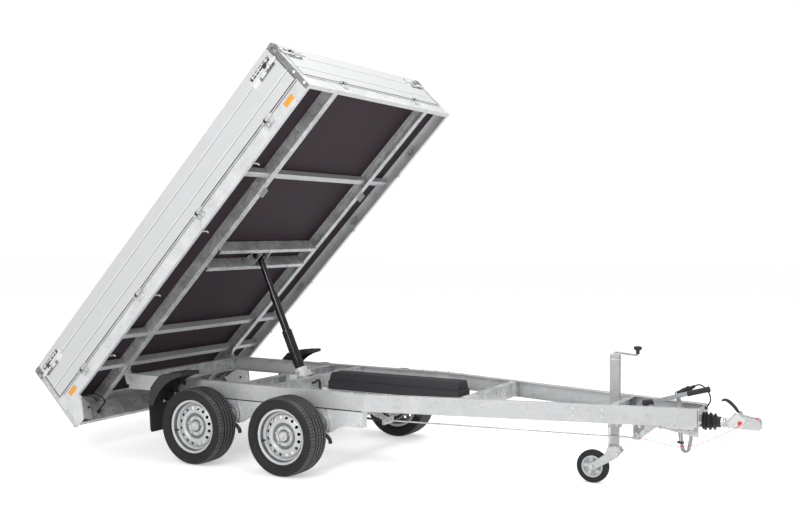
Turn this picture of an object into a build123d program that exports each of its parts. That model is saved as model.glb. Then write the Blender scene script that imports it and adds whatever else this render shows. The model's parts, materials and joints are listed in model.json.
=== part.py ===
from build123d import *
import math
import os

# Tandem-axle dump trailer with a three-stage ram, four drop boards and an overrun drawbar.
# Millimetres. +X towards the coupling, +Y to the trailer's left, +Z up, ground at Z = 0.
# Chassis pieces are drawn with X = 0 midway between the axles.
# Bed pieces are drawn lying flat, in the bed's own frame: u along the bed from its rear end,
# y across, v up from the lower edge of the side profiles. bed_place sets them down raised.

# Wheels and axles
axle_spacing = 742.0
wheel_radius = 262.5
tyre_width = 196.0
wheel_centre_y = 773.0
bead_radius = 165.0
rim_flange_radius = 182.0
rim_well_radius = 150.0
rim_width = 142.0
rim_wall = 4.0
disc_offset = 22.0
bolt_circle_radius = 56.0
wheel_bolt_count = 5
vent_count = 16
vent_radius = 8.0
vent_circle_radius = 124.0
hub_bore_radius = 33.5
hub_cap_radius = 32.0
hub_radius = 62.0
drum_radius = 118.0
drum_width = 56.0
drum_wall = 8.0
arm_length = 170.0
arm_rise = 74.0
arm_thickness = 18.0
arm_root_radius = 72.0
arm_tip_radius = 44.0
axle_tube = 70.0
stub_radius = 20.0

# Chassis frame
rail_half_width = 629.0
rail_top = 550.0
rail_height = 110.0
rail_flange = 52.0
rail_wall = 5.0
rail_rear_x = -1144.0
bend_x = 878.0
nose_x = 2894.0
nose_half_width = 131.0
beam_wall = 5.0
beam_width = 50.0
rear_member_width = 45.0
front_member_x = 1450.0
front_member_width = 55.0

# Tipping geometry
tilt_deg = 46.19
bed_hinge_x = -1175.0
bed_hinge_z = 554.0
bed_hinge_y = 613.0
bed_hinge_u = 364.0
bed_hinge_v = -12.0
hinge_pin_radius = 12.0
hinge_lug_radius = 18.0
hinge_lug_thickness = 8.0
knuckle_thickness = 18.0
knuckle_radius = 17.0
pin_clearance = 0.3

# Ram
ram_base_x = -28.0
ram_base_z = 539.0
ram_head_u = 1511.0
ram_head_v = 48.0
ram_barrel_radius = 42.5
ram_stage_radii = (37.0, 28.5, 22.0)
ram_gap = 0.5
ram_below = 330.0
ram_above = 58.0
ram_stage_length = 372.0
ram_stage_base = 4.0
ram_seat_gap = 2.0
ram_collar_radius = 48.0
ram_collar_height = 40.0
trunnion_radius = 15.0
trunnion_plate_y = 70.0
trunnion_plate_thickness = 10.0
head_pin_radius = 15.0
head_ear_y = 49.5
head_ear_thickness = 8.0
head_hole_radius = 22.0

# Bed
bed_length = 3081.0
bed_width = 1962.0
profile_height = 105.0
profile_lip = 30.0
profile_wall = 4.0
floor_thickness = 15.0
board_gap = 5.0
board_height = 305.0
board_clearance = 5.0
board_thickness = 25.0
groove_places = (81.0, 210.0)
groove_width = 4.0
groove_depth = 2.0
rear_post = 31.0
rear_post_overhang = 20.0
front_post = 45.0
post_depth = 42.0
post_wall = 4.0
beam_outer_y = 660.0
bed_beam_width = 56.0
bed_beam_bottom = 10.0
cross_member_height = 50.0
cross_member_width = 42.0
head_member_bottom = -10.0
head_member_width = 32.0
head_member_u = (1425.0, 1596.0)
cross_member_u = (380.0, 718.0, 2281.0)
apron_depth = 160.0
apron_wall = 3.0
apron_inset = 28.0
board_hinge_v = 95.0
board_hinge_out = 10.0
board_pin_radius = 5.0
board_knuckle_radius = 9.0
side_hinge_u = (363.0, 1124.0, bed_length - 1182.0, bed_length - 370.0)
end_hinge_y = (-500.0, 500.0)

# Drawbar fittings
jockey_x = 2345.0
jockey_y = 22.0
mast_length = 60.0
mast_width = 42.0
mast_wall = 4.0
mast_top = 824.0
mast_bottom = 372.0
jockey_wheel_x = 2202.0
jockey_wheel_radius = 106.0
jockey_wheel_width = 56.0
coupling_z = 464.0
coupling_nose_x = 3240.0
ball_radius = 25.0

# Derived places
half_track = wheel_centre_y
half_bed = bed_width / 2
rail_bottom = rail_top - rail_height
drawbar_angle = math.atan2(rail_half_width - nose_half_width, nose_x - bend_x)
tilt = math.radians(tilt_deg)
board_bottom = profile_height + board_gap
board_top = board_bottom + board_height
floor_bottom = profile_height - floor_thickness


def bed_point(u, v, angle=tilt):
    """Chassis-frame X and Z of a bed point, with the bed tilted by angle."""
    du = u - bed_hinge_u
    dv = v - bed_hinge_v
    x = bed_hinge_x + du * math.cos(angle) - dv * math.sin(angle)
    z = bed_hinge_z + du * math.sin(angle) + dv * math.cos(angle)
    return x, z


# The row's origin lies under the middle of the whole trailer, as it stands with the bed raised.
rear_reach_x = bed_point(-rear_post_overhang, board_top)[0]
origin_x = (rear_reach_x + coupling_nose_x) / 2

ram_head_x, ram_head_z = bed_point(ram_head_u, ram_head_v)
ram_length = math.hypot(ram_head_x - ram_base_x, ram_head_z - ram_base_z)
ram_lean = math.atan2(ram_base_x - ram_head_x, ram_head_z - ram_base_z)
low_head_x, low_head_z = bed_point(ram_head_u, ram_head_v, 0)
ram_closed = math.hypot(low_head_x - ram_base_x, low_head_z - ram_base_z)
ram_low_lean = math.atan2(ram_base_x - low_head_x, low_head_z - ram_base_z)
ram_stroke = (ram_length - ram_closed) / 3
ram_tops = (ram_above + ram_stroke, ram_above + 2 * ram_stroke, ram_length)

chassis_place = Location((-origin_x, 0, 0))
bed_place = (
    Location((bed_hinge_x - origin_x, 0, bed_hinge_z))
    * Location((0, 0, 0), (0, 1, 0), -tilt_deg)
    * Location((-bed_hinge_u, 0, -bed_hinge_v))
)
ram_place = (
    Location((ram_base_x - origin_x, 0, ram_base_z))
    * Location((0, 0, 0), (0, 1, 0), -math.degrees(ram_lean))
)

os.makedirs("parts", exist_ok=True)


def keep(piece, name, place=chassis_place):
    """Label a finished piece, set it down in the trailer and write it."""
    piece.part.label = name
    placed = place * piece.part
    placed.label = name
    export_step(placed, f"parts/{name}.step")


def keep_group(pieces, name, place=chassis_place):
    """Write like pieces that don't touch as one node."""
    with BuildPart() as group:
        add(pieces)
    keep(group, name, place)


def rail_y(x, depth=0.0):
    """Half-width to the rails' outer faces at x, less a depth measured square to them."""
    if x <= bend_x:
        return rail_half_width - depth
    slope = math.tan(drawbar_angle)
    return rail_half_width - (x - bend_x) * slope - depth / math.cos(drawbar_angle)


def rail_strip(depth):
    """Plan of the left rail from its outer face inwards by depth, mitred at the bend."""
    inner_bend = bend_x - depth * math.tan(drawbar_angle / 2)
    return [
        (rail_rear_x, rail_half_width),
        (bend_x, rail_half_width),
        (nose_x, nose_half_width),
        (nose_x, nose_half_width - depth / math.cos(drawbar_angle)),
        (inner_bend, rail_half_width - depth),
        (rail_rear_x, rail_half_width - depth),
    ]


def between_rails(x_from, x_to):
    """Plan of the space between the rails' webs from x_from to x_to."""
    y_from = rail_y(x_from, rail_wall)
    y_to = rail_y(x_to, rail_wall)
    return [(x_from, -y_from), (x_to, -y_to), (x_to, y_to), (x_from, y_from)]


def channel_face(width, height, wall, web_first=True):
    """C section on the current sketch plane, its web at the low or the high end of X."""
    Rectangle(width, height)
    shift = wall if web_first else -wall
    with Locations((shift, 0)):
        Rectangle(width, height - 2 * wall, mode=Mode.SUBTRACT)


def cross_channel(x_low, width, web_first, wall=beam_wall):
    """Cross member of C section between the rails' webs and flanges, cut to their plan."""
    z_middle = rail_bottom + rail_height / 2
    section_plane = Plane(
        origin=(x_low + width / 2, 0, z_middle), x_dir=(1, 0, 0), z_dir=(0, -1, 0)
    )
    with BuildSketch(section_plane) as section:
        channel_face(width, rail_height - 2 * rail_wall, wall, web_first)
    extrude(section.sketch, amount=rail_half_width, both=True)
    with BuildSketch(Plane.XY.offset(rail_bottom)) as plan:
        with BuildLine():
            Polyline(*between_rails(x_low, x_low + width), close=True)
        make_face()
    extrude(plan.sketch, amount=rail_height, mode=Mode.INTERSECT)


# Chassis rails
with BuildPart() as chassis_rails:
    for depth, low, high in (
        (rail_wall, rail_bottom, rail_top),
        (rail_flange, rail_bottom, rail_bottom + rail_wall),
        (rail_flange, rail_top - rail_wall, rail_top),
    ):
        with BuildSketch(Plane.XY.offset(low)):
            with BuildLine():
                Polyline(*rail_strip(depth), close=True)
            make_face()
        extrude(amount=high - low)
    mirror(about=Plane.XZ)
keep(chassis_rails, "chassis_rails")

# Cross members at the rear, ahead of the bed and at the jockey mast
mast_member_x = jockey_x + mast_length / 2
mast_member_width = 44.0
cross_members = []
for member_x, member_width, web_first in (
    (rail_rear_x, rear_member_width, True),
    (front_member_x, front_member_width, False),
    (mast_member_x, mast_member_width, True),
):
    with BuildPart() as cross_member:
        cross_channel(member_x, member_width, web_first)
    cross_members.append(cross_member.part)
keep_group(cross_members, "cross_members")

# Two beams carry the ram's trunnion plates
ram_beam_offset = 125.0
ram_front_beam_x = ram_base_x + ram_beam_offset - beam_width / 2
ram_rear_beam_x = ram_base_x - ram_beam_offset - beam_width / 2
ram_beams = []
for beam_x, web_first in ((ram_front_beam_x, False), (ram_rear_beam_x, True)):
    with BuildPart() as ram_beam:
        cross_channel(beam_x, beam_width, web_first)
    ram_beams.append(ram_beam.part)
keep_group(ram_beams, "ram_beams")

trunnion_plate_length = 2 * ram_beam_offset - beam_width
with BuildPart() as trunnion_plates:
    with BuildSketch(Plane.XZ.offset(-trunnion_plate_y)):
        with Locations((ram_base_x, rail_bottom + rail_height / 2)):
            Rectangle(trunnion_plate_length, rail_height - 2 * rail_wall)
        with Locations((ram_base_x, ram_base_z)):
            Circle(trunnion_radius + 16)
            Circle(trunnion_radius + pin_clearance, mode=Mode.SUBTRACT)
    extrude(amount=trunnion_plate_thickness)
    mirror(about=Plane.XZ)
keep(trunnion_plates, "trunnion_plates")

# Rear hinge brackets: a back plate on each rail's end, two cheeks and the pin through them
cheek_inner = knuckle_thickness / 2 + 0.5
with BuildPart() as bed_hinge_brackets:
    back_plate_x = rail_rear_x - hinge_lug_thickness
    with BuildSketch(Plane.XY.offset(rail_bottom)):
        with Locations(((back_plate_x + rail_rear_x) / 2, rail_half_width - rail_flange / 2)):
            Rectangle(hinge_lug_thickness, rail_flange)
    extrude(amount=rail_height)
    for side in (1, -1):
        cheek_y = bed_hinge_y + side * (cheek_inner + hinge_lug_thickness / 2)
        with BuildSketch(Plane.XZ.offset(-cheek_y)):
            with Locations((bed_hinge_x, bed_hinge_z)):
                Circle(hinge_lug_radius)
            with BuildLine():
                Polyline(
                    (bed_hinge_x - hinge_lug_radius, bed_hinge_z),
                    (back_plate_x, bed_hinge_z - 4),
                    (back_plate_x, rail_bottom + 30),
                    (bed_hinge_x + 3, rail_bottom + 30),
                    (bed_hinge_x - hinge_lug_radius, bed_hinge_z - 30),
                    close=True,
                )
            make_face()
        extrude(amount=hinge_lug_thickness / 2, both=True)
    with BuildSketch(Plane.XZ.offset(-bed_hinge_y)):
        with Locations((bed_hinge_x, bed_hinge_z)):
            Circle(hinge_pin_radius)
    extrude(amount=cheek_inner + hinge_lug_thickness + 4, both=True)
    mirror(about=Plane.XZ)
keep(bed_hinge_brackets, "bed_hinge_brackets")

# Axles: a torsion tube, two swing arms with stub shafts, brake drums and support brackets
axle_places = (-axle_spacing / 2, axle_spacing / 2)
bracket_width = 60.0
bracket_outer_y = 620.0
bracket_wall = 5.0
bracket_foot = 490.0
bracket_drop = 112.0
arm_root_z = wheel_radius + arm_rise
arm_inner_y = 632.0
arm_outer_y = arm_inner_y + arm_thickness
backplate_thickness = 5.0
stub_end_y = wheel_centre_y - 6.0
with BuildPart() as axle_tubes:
    for wheel_x in axle_places:
        tube_plane = Plane.XZ.offset(-bracket_outer_y)
        with BuildSketch(tube_plane):
            with Locations((wheel_x + arm_length, arm_root_z)):
                RectangleRounded(axle_tube, axle_tube, 10)
                Rectangle(axle_tube - 16, axle_tube - 16, mode=Mode.SUBTRACT)
        extrude(amount=2 * bracket_outer_y)
keep(axle_tubes, "axle_tubes")

with BuildPart() as axle_brackets:
    for wheel_x in axle_places:
        root_x = wheel_x + arm_length
        with BuildSketch(Plane.XZ.offset(-bracket_outer_y)) as bracket_side:
            with BuildLine():
                Polyline(
                    (wheel_x + 60, rail_bottom),
                    (wheel_x + bracket_foot, rail_bottom),
                    (wheel_x + bracket_foot, rail_bottom - bracket_drop),
                    (wheel_x + 322, rail_bottom - bracket_drop),
                    (wheel_x + 225, 272),
                    (wheel_x + 130, 282),
                    (wheel_x + 60, 360),
                    close=True,
                )
            make_face()
        extrude(amount=bracket_width)
        with BuildSketch(Plane.XZ.offset(-(bracket_outer_y - bracket_wall))):
            offset(bracket_side.sketch, amount=-bracket_wall)
        extrude(amount=bracket_width - bracket_wall, mode=Mode.SUBTRACT)
        with BuildSketch(Plane.XZ.offset(-bracket_outer_y)):
            with Locations((root_x, arm_root_z)):
                Rectangle(axle_tube, axle_tube)
        extrude(amount=bracket_width, mode=Mode.SUBTRACT)
    mirror(about=Plane.XZ)
keep(axle_brackets, "axle_brackets")

with BuildPart() as swing_arms:
    for wheel_x in axle_places:
        with BuildSketch(Plane.XZ.offset(-arm_inner_y)):
            with BuildLine():
                root = (wheel_x + arm_length, arm_root_z)
                tip = (wheel_x, wheel_radius)
                reach = math.hypot(arm_length, arm_rise)
                slope = math.atan2(arm_rise, arm_length)
                lean = math.acos((arm_root_radius - arm_tip_radius) / reach)
                arm_outline = []
                for turn, centre, radius in (
                    (slope + math.pi - lean, root, arm_root_radius),
                    (slope + math.pi - lean, tip, arm_tip_radius),
                    (slope + math.pi + lean, tip, arm_tip_radius),
                    (slope + math.pi + lean, root, arm_root_radius),
                ):
                    arm_outline.append((
                        centre[0] + radius * math.cos(turn),
                        centre[1] + radius * math.sin(turn),
                    ))
                Polyline(*arm_outline, close=True)
            make_face()
            with Locations(root):
                Circle(arm_root_radius)
            with Locations(tip):
                Circle(arm_tip_radius)
        extrude(amount=-arm_thickness)
        with BuildSketch(Plane.XZ.offset(-arm_inner_y)):
            with Locations(root):
                Rectangle(axle_tube - 17, axle_tube - 17)
        extrude(amount=arm_inner_y - bracket_outer_y + 40)
        with BuildSketch(Plane.XZ.offset(-arm_outer_y)):
            with Locations(tip):
                Circle(stub_radius)
        extrude(amount=-(stub_end_y - arm_outer_y))
        with BuildSketch(Plane.XZ.offset(-arm_outer_y)):
            with Locations(tip):
                Circle(drum_radius + 3)
        extrude(amount=-backplate_thickness)
    mirror(about=Plane.XZ)
keep(swing_arms, "swing_arms")

# Mudguards over the rear quarter of each rear wheel, with a hanging flap and two stays
guard_radius = 371.0
guard_wall = 4.0
guard_inner_y = 682.0
guard_width = 190.0
guard_angles = (88.0, 172.0)
guard_stay_angles = (133.0, 148.0)
guard_lip = 26.0
flap_bottom = 168.0
rear_wheel_x = axle_places[0]
with BuildPart() as mudguards:
    guard_plane = Plane((rear_wheel_x, guard_inner_y, wheel_radius), x_dir=(1, 0, 0), z_dir=(0, -1, 0))
    for inner, wide, start in (
        (guard_radius, guard_width, 0),
        (guard_radius - guard_lip, guard_wall, guard_width - guard_wall),
    ):
        with BuildSketch(guard_plane.offset(-start)):
            Circle(guard_radius + guard_wall)
            Circle(inner, mode=Mode.SUBTRACT)
            with BuildLine():
                reach = 2 * guard_radius
                Polyline(
                    (0, 0),
                    *[
                        (reach * math.cos(math.radians(a)), reach * math.sin(math.radians(a)))
                        for a in (guard_angles[0], 130, guard_angles[1])
                    ],
                    close=True,
                )
            make_face(mode=Mode.INTERSECT)
        extrude(amount=-wide)
    flap_top_x = rear_wheel_x + guard_radius * math.cos(math.radians(guard_angles[1]))
    flap_top_z = wheel_radius + guard_radius * math.sin(math.radians(guard_angles[1]))
    with BuildSketch(Plane.XZ.offset(-guard_inner_y)):
        with BuildLine():
            Polyline(
                (flap_top_x - guard_wall, flap_top_z + 110),
                (flap_top_x + guard_wall, flap_top_z + 110),
                (flap_top_x + guard_wall, flap_top_z),
                (flap_top_x + 24, flap_bottom),
                (flap_top_x + 24 - guard_wall, flap_bottom),
                (flap_top_x - guard_wall, flap_top_z),
                close=True,
            )
        make_face()
    extrude(amount=-guard_width)
    for stay_angle in guard_stay_angles:
        stay_x = rear_wheel_x + guard_radius * math.cos(math.radians(stay_angle))
        stay_z = wheel_radius + guard_radius * math.sin(math.radians(stay_angle))
        with Locations((stay_x, (rail_half_width + guard_inner_y) / 2 + 6, stay_z)):
            Box(30, guard_inner_y - rail_half_width + 12, 24)
    mirror(about=Plane.XZ)
keep(mudguards, "mudguards")

# Pump box on its tray, between the ram's front beam and the front cross member
box_x = 262.0
box_length = 1050.0
box_width = 170.0
box_y = -22.0
box_top = 594.0
box_lid_height = 28.0
box_case_height = 92.0
box_lid_step = 9.0
tray_wall = 4.0
tray_height = 40.0
tray_x = ram_front_beam_x + beam_width
with BuildPart() as pump_box:
    with Locations((box_x + box_length / 2, box_y, box_top - box_lid_height)):
        Box(box_length, box_width, box_case_height, align=(Align.CENTER, Align.CENTER, Align.MAX))
    with BuildSketch(Plane.XY.offset(box_top - box_lid_height)):
        with Locations((box_x + box_length / 2, box_y)):
            Rectangle(box_length - 2 * box_lid_step, box_width - 2 * box_lid_step)
    extrude(amount=box_lid_height, taper=12)
keep(pump_box, "pump_box")

tray_bottom = box_top - box_lid_height - box_case_height
with BuildPart() as pump_tray:
    for side in (-1, 1):
        leg_y = box_y + side * (box_width / 2 - 20)
        with BuildSketch(Plane((tray_x, leg_y, tray_bottom), x_dir=(0, 1, 0), z_dir=(1, 0, 0))):
            with Locations((0, -tray_wall / 2)):
                Rectangle(tray_height, tray_wall)
            with Locations((-side * (tray_height - tray_wall) / 2, -15)):
                Rectangle(tray_wall, 30)
        extrude(amount=front_member_x - tray_x)
keep(pump_tray, "pump_tray")

# Routes of the breakaway cable and of the lighting lead with its parked plug
cable_radius = 1.6
cable_clamp = 12.0
cable_points = [
    (2508.0, -14.0, 319.0), (2548.0, -14.0, 319.0), (2603.0, -14.8, 310.1),
    (2655.7, -15.8, 300.5), (2708.5, -16.9, 294.3), (2762.6, -17.4, 295.0),
    (2814.8, -18.9, 302.1), (2867.0, -22.9, 316.5), (2914.2, -31.1, 338.1),
    (2961.5, -39.8, 362.6), (3007.1, -46.8, 388.0), (3054.5, -49.9, 414.9),
    (3101.5, -45.8, 443.9), (3130.0, -42.0, 462.0),
]
lead_radius = 4.5
lead_points = [
    (2836.0, 62.0, 662.0), (2856.0, 62.0, 674.0), (2884.0, 60.0, 666.0), (2912.0, 56.0, 644.0),
    (2930.0, 52.0, 612.0), (2934.0, 50.0, 582.0), (2926.0, 50.0, 560.75), (2912.0, 50.0, 545.0),
]
plug_start = (2736.0, 62.0, 602.0)
plug_radius = 22.0
plug_cup = 14.0
plug_post = 20.0


def run_direction(run):
    """Direction from the first to the last point of a run."""
    return tuple(b - a for a, b in zip(run[0], run[-1]))


plug_plane = Plane(origin=plug_start, z_dir=run_direction((plug_start, lead_points[0])))

# Overrun unit: housing between the rails' noses, a front plate and the lever plate below
housing_x = 2740.0
housing_end_x = 2872.0
housing_low = 448.0
housing_high = 486.0
housing_tube_radius = 40.0
front_plate_thickness = 8.0
front_plate_half_width = 118.0
bellows_x = nose_x + front_plate_thickness
bellows_length = 106.0
bellows_radius = 60.0
bellows_neck_radius = 40.0
bellows_folds = 3
coupling_tube_radius = 25.0
lever_plate_x = (2470.0, 2560.0)
lever_edge_x = 2474.0
lever_plate_bottom = 322.0
lever_plate_y = 12.0
loop_x = housing_end_x - 75.0
loop_half_width = 31.0
loop_bottom = 256.0
loop_strap = 5.0
loop_strap_width = 26.0
with BuildPart() as overrun_unit:
    with BuildSketch(Plane.XY.offset(housing_low)) as housing_plan:
        with BuildLine():
            Polyline(*between_rails(housing_x, housing_end_x), close=True)
        make_face()
    extrude(amount=housing_high - housing_low)
    with BuildSketch(Plane.YZ.offset(lever_plate_x[0])):
        with Locations((0, coupling_z)):
            Circle(housing_tube_radius)
    extrude(amount=nose_x - lever_plate_x[0])
    with BuildSketch(Plane.YZ.offset(nose_x)):
        with Locations((0, rail_bottom + rail_height / 2)):
            RectangleRounded(2 * front_plate_half_width, rail_height, 12)
    extrude(amount=front_plate_thickness)
    with BuildSketch(Plane.XZ.offset(lever_plate_y)):
        with BuildLine():
            Polyline(
                (lever_plate_x[0], coupling_z),
                (lever_plate_x[0] - 4, rail_bottom - 20),
                (lever_edge_x, lever_plate_bottom + 23),
                (lever_edge_x, lever_plate_bottom - 14),
                (lever_plate_x[0] + 40, lever_plate_bottom - 14),
                (lever_plate_x[1] + 60, rail_bottom - 40),
                (housing_end_x, rail_bottom - 82),
                (housing_end_x, coupling_z),
                close=True,
            )
        make_face()
    extrude(amount=-2 * lever_plate_y)
    loop_plane = Plane.XZ.offset(loop_strap_width / 2)
    with BuildSketch(loop_plane):
        with BuildLine():
            loop_top = rail_bottom - 50
            arc_z = loop_bottom + loop_half_width
            Line((loop_x - loop_half_width, loop_top), (loop_x - loop_half_width, arc_z))
            ThreePointArc(
                (loop_x - loop_half_width, arc_z),
                (loop_x, loop_bottom),
                (loop_x + loop_half_width, arc_z),
            )
            Line((loop_x + loop_half_width, arc_z), (loop_x + loop_half_width, loop_top))
            Line((loop_x + loop_half_width, loop_top), (loop_x - loop_half_width, loop_top))
        make_face()
        with BuildLine():
            inner_half = loop_half_width - loop_strap
            Line((loop_x - inner_half, loop_top), (loop_x - inner_half, arc_z))
            ThreePointArc(
                (loop_x - inner_half, arc_z),
                (loop_x, loop_bottom + loop_strap),
                (loop_x + inner_half, arc_z),
            )
            Line((loop_x + inner_half, arc_z), (loop_x + inner_half, loop_top))
            Line((loop_x + inner_half, loop_top), (loop_x - inner_half, loop_top))
        make_face(mode=Mode.SUBTRACT)
    extrude(amount=-loop_strap_width)
    with Locations((cable_points[0][0], -lever_plate_y, cable_points[0][2])):
        Box(cable_clamp, cable_clamp, cable_clamp, align=(Align.MAX, Align.CENTER, Align.CENTER))
    with BuildSketch(Plane.XZ.offset(-(plug_start[1] + plug_post / 2))):
        with BuildLine():
            Polyline(
                (housing_x + 2, housing_high - 2),
                (housing_x + 32, housing_high - 2),
                (plug_start[0] + 8, plug_start[2] - 18),
                (plug_start[0] - 14, plug_start[2] - 12),
                close=True,
            )
        make_face()
    extrude(amount=plug_post)
    with BuildSketch(plug_plane.offset(-plug_cup)):
        Circle(plug_radius + 2)
    extrude(amount=plug_cup)
    with BuildSketch(Plane(origin=lead_points[-1], z_dir=run_direction(lead_points[-2:]))):
        Circle(8)
    extrude(amount=24)
keep(overrun_unit, "overrun_unit")

with BuildPart() as bellows:
    with BuildSketch(Plane.XZ):
        with BuildLine():
            pitch = bellows_length / bellows_folds
            crest = []
            for fold in range(bellows_folds):
                start = bellows_x + fold * pitch
                crest += [
                    (start, coupling_z + bellows_neck_radius + 4),
                    (start + pitch * 0.3, coupling_z + bellows_radius - 3 * fold),
                    (start + pitch * 0.55, coupling_z + bellows_radius - 3 * fold),
                ]
            Polyline(
                (bellows_x, coupling_z + coupling_tube_radius),
                *crest,
                (bellows_x + bellows_length, coupling_z + bellows_neck_radius - 8),
                (bellows_x + bellows_length, coupling_z + coupling_tube_radius),
                close=True,
            )
        make_face()
    revolve(axis=Axis((0, 0, coupling_z), (1, 0, 0)))
keep(bellows, "bellows")

# Coupling head on its drawtube, with the ball socket open below
head_x = bellows_x + bellows_length + 46
head_half_width = 36.0
head_top = coupling_z + 36
head_bottom = coupling_z - 26
socket_x = coupling_nose_x - 40
socket_z = head_bottom + 24
with BuildPart() as coupling_head:
    with BuildSketch(Plane.YZ.offset(bellows_x)):
        with Locations((0, coupling_z)):
            Circle(coupling_tube_radius - 0.5)
    extrude(amount=head_x + 12 - bellows_x)
    with BuildSketch(Plane.XZ.offset(-head_half_width)):
        with BuildLine():
            Polyline(
                (head_x, coupling_z - 22),
                (head_x, coupling_z + 24),
                (head_x + 30, head_top + 22),
                (head_x + 70, head_top + 16),
                (coupling_nose_x - 50, head_top + 4),
                (coupling_nose_x - 10, head_top),
                (coupling_nose_x, head_top - 20),
                (coupling_nose_x, head_bottom),
                (head_x + 40, head_bottom),
                close=True,
            )
        make_face()
    extrude(amount=2 * head_half_width)
    fillet(coupling_head.edges().filter_by(Axis.Y).sort_by(Axis.X)[-2:], 8)
    with Locations((socket_x, 0, socket_z)):
        Sphere(ball_radius + 0.6, mode=Mode.SUBTRACT)
    with Locations((socket_x, 0, head_bottom)):
        Cylinder(
            ball_radius + 0.6,
            2 * (socket_z - head_bottom),
            mode=Mode.SUBTRACT,
        )
    with BuildSketch(Plane(origin=cable_points[-1], z_dir=run_direction(cable_points[-2:]))):
        Circle(6)
    extrude(amount=26)
keep(coupling_head, "coupling_head")

with BuildPart() as coupling_handle:
    with BuildSketch(Plane.XZ.offset(-13)):
        with BuildLine():
            Polyline(
                (head_x + 62, head_top + 17.2),
                (head_x + 36, head_top + 60),
                (head_x - 20, head_top + 98),
                (head_x - 40, head_top + 88),
                (head_x - 46, head_top + 96),
                (head_x - 26, head_top + 116),
                (head_x - 4, head_top + 112),
                (head_x + 56, head_top + 68),
                (head_x + 86, head_top + 13.1),
                (head_x + 70, head_top + 16),
                close=True,
            )
        make_face()
    extrude(amount=26)
keep(coupling_handle, "coupling_handle")

# Handbrake lever: flat tube rising forwards from a pivot on the overrun unit, with a grip
brake_pivot = (2520.0, 512.0)
brake_grip_start = (2812.0, 622.0)
brake_grip_end = (2939.0, 658.0)
with BuildPart() as handbrake_lever:
    with BuildSketch(Plane.XZ.offset(-10)):
        with BuildLine():
            Polyline(
                (brake_pivot[0] - 28, coupling_z + housing_tube_radius),
                (brake_pivot[0] - 20, brake_pivot[1] + 30),
                (brake_pivot[0] + 60, brake_grip_start[1] - 62),
                (brake_grip_start[0], brake_grip_start[1] + 14),
                (brake_grip_start[0] + 4, brake_grip_start[1] - 12),
                (brake_pivot[0] + 90, coupling_z + housing_tube_radius + 34),
                (brake_pivot[0] + 50, coupling_z + housing_tube_radius),
                close=True,
            )
        make_face()
    extrude(amount=20)
    grip_plane = Plane(
        origin=(brake_grip_start[0], 0, brake_grip_start[1]),
        z_dir=(
            brake_grip_end[0] - brake_grip_start[0],
            0,
            brake_grip_end[1] - brake_grip_start[1],
        ),
    )
    with BuildSketch(grip_plane):
        Circle(17)
    extrude(amount=math.dist(brake_grip_start, brake_grip_end))
keep(handbrake_lever, "handbrake_lever")

# Brake rod from the lever plate back to the balance bar on the front axle's tube
rod_radius = 5.0
rod_front = (lever_edge_x - 0.15, 318.0)
rod_rear = (700.0, 268.0)
balance_half_width = 70.0
front_tube_face = axle_places[1] + arm_length + axle_tube / 2
with BuildPart() as brake_linkage:
    rod_plane = Plane(
        origin=(rod_rear[0], 0, rod_rear[1]),
        z_dir=(rod_front[0] - rod_rear[0], 0, rod_front[1] - rod_rear[1]),
    )
    with BuildSketch(rod_plane):
        Circle(rod_radius)
    extrude(amount=math.dist(rod_front, rod_rear))
    with Locations((rod_rear[0], 0, rod_rear[1])):
        Box(16, 2 * balance_half_width, 44)
    with BuildSketch(Plane.XZ.offset(8)):
        with BuildLine():
            Polyline(
                (front_tube_face, arm_root_z + 20),
                (rod_rear[0] - 30, rod_rear[1] + 30),
                (rod_rear[0] + 2, rod_rear[1] + 22),
                (rod_rear[0] + 2, rod_rear[1] - 10),
                (front_tube_face + 10, arm_root_z - 46),
                (front_tube_face, arm_root_z - 34),
                close=True,
            )
        make_face()
    extrude(amount=-16)
keep(brake_linkage, "brake_linkage")

# Jockey mast through the drawbar, against its cross member
mast_collar = 9.0
with BuildPart() as jockey_mast:
    with BuildSketch(Plane.XY.offset(mast_bottom)):
        with Locations((jockey_x, jockey_y)):
            Rectangle(mast_length, mast_width)
            Rectangle(
                mast_length - 2 * mast_wall, mast_width - 2 * mast_wall, mode=Mode.SUBTRACT
            )
    extrude(amount=mast_top - mast_bottom)
    with BuildSketch(Plane.XY.offset(mast_bottom)):
        with Locations((jockey_x, jockey_y)):
            Rectangle(mast_length + 2 * mast_collar, mast_width + 2 * mast_collar)
            Rectangle(
                mast_length - 2 * mast_wall, mast_width - 2 * mast_wall, mode=Mode.SUBTRACT
            )
    extrude(amount=44)
    with BuildSketch(Plane.XY.offset(mast_top)):
        with Locations((jockey_x, jockey_y)):
            Rectangle(mast_length, mast_width)
    extrude(amount=5)
keep(jockey_mast, "jockey_mast")

leg_clearance = 0.3
leg_inset = 2 * (mast_wall + leg_clearance)
leg_size = (mast_length - leg_inset, mast_width - leg_inset)
leg_bottom = 256.0
leg_top = 620.0
with BuildPart() as jockey_leg:
    with BuildSketch(Plane.XY.offset(leg_bottom)):
        with Locations((jockey_x, jockey_y)):
            Rectangle(*leg_size)
    extrude(amount=leg_top - leg_bottom)
keep(jockey_leg, "jockey_leg")

crank_reach = 150.0
crank_rod = 6.0
with BuildPart() as jockey_crank:
    with Locations((jockey_x, jockey_y, mast_top + 5)):
        Cylinder(9, 16, align=(Align.CENTER, Align.CENTER, Align.MIN))
    with BuildSketch(Plane.YZ.offset(jockey_x)):
        with Locations((jockey_y, mast_top + 14)):
            Circle(crank_rod)
    extrude(amount=crank_reach)
    with Locations((jockey_x + crank_reach - crank_rod, jockey_y, mast_top + 14)):
        Cylinder(crank_rod, 40, align=(Align.CENTER, Align.CENTER, Align.MIN))
    with Locations((jockey_x + crank_reach - crank_rod, jockey_y, mast_top + 34)):
        Cone(12, 24, 26, align=(Align.CENTER, Align.CENTER, Align.MIN))
keep(jockey_crank, "jockey_crank")

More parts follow.
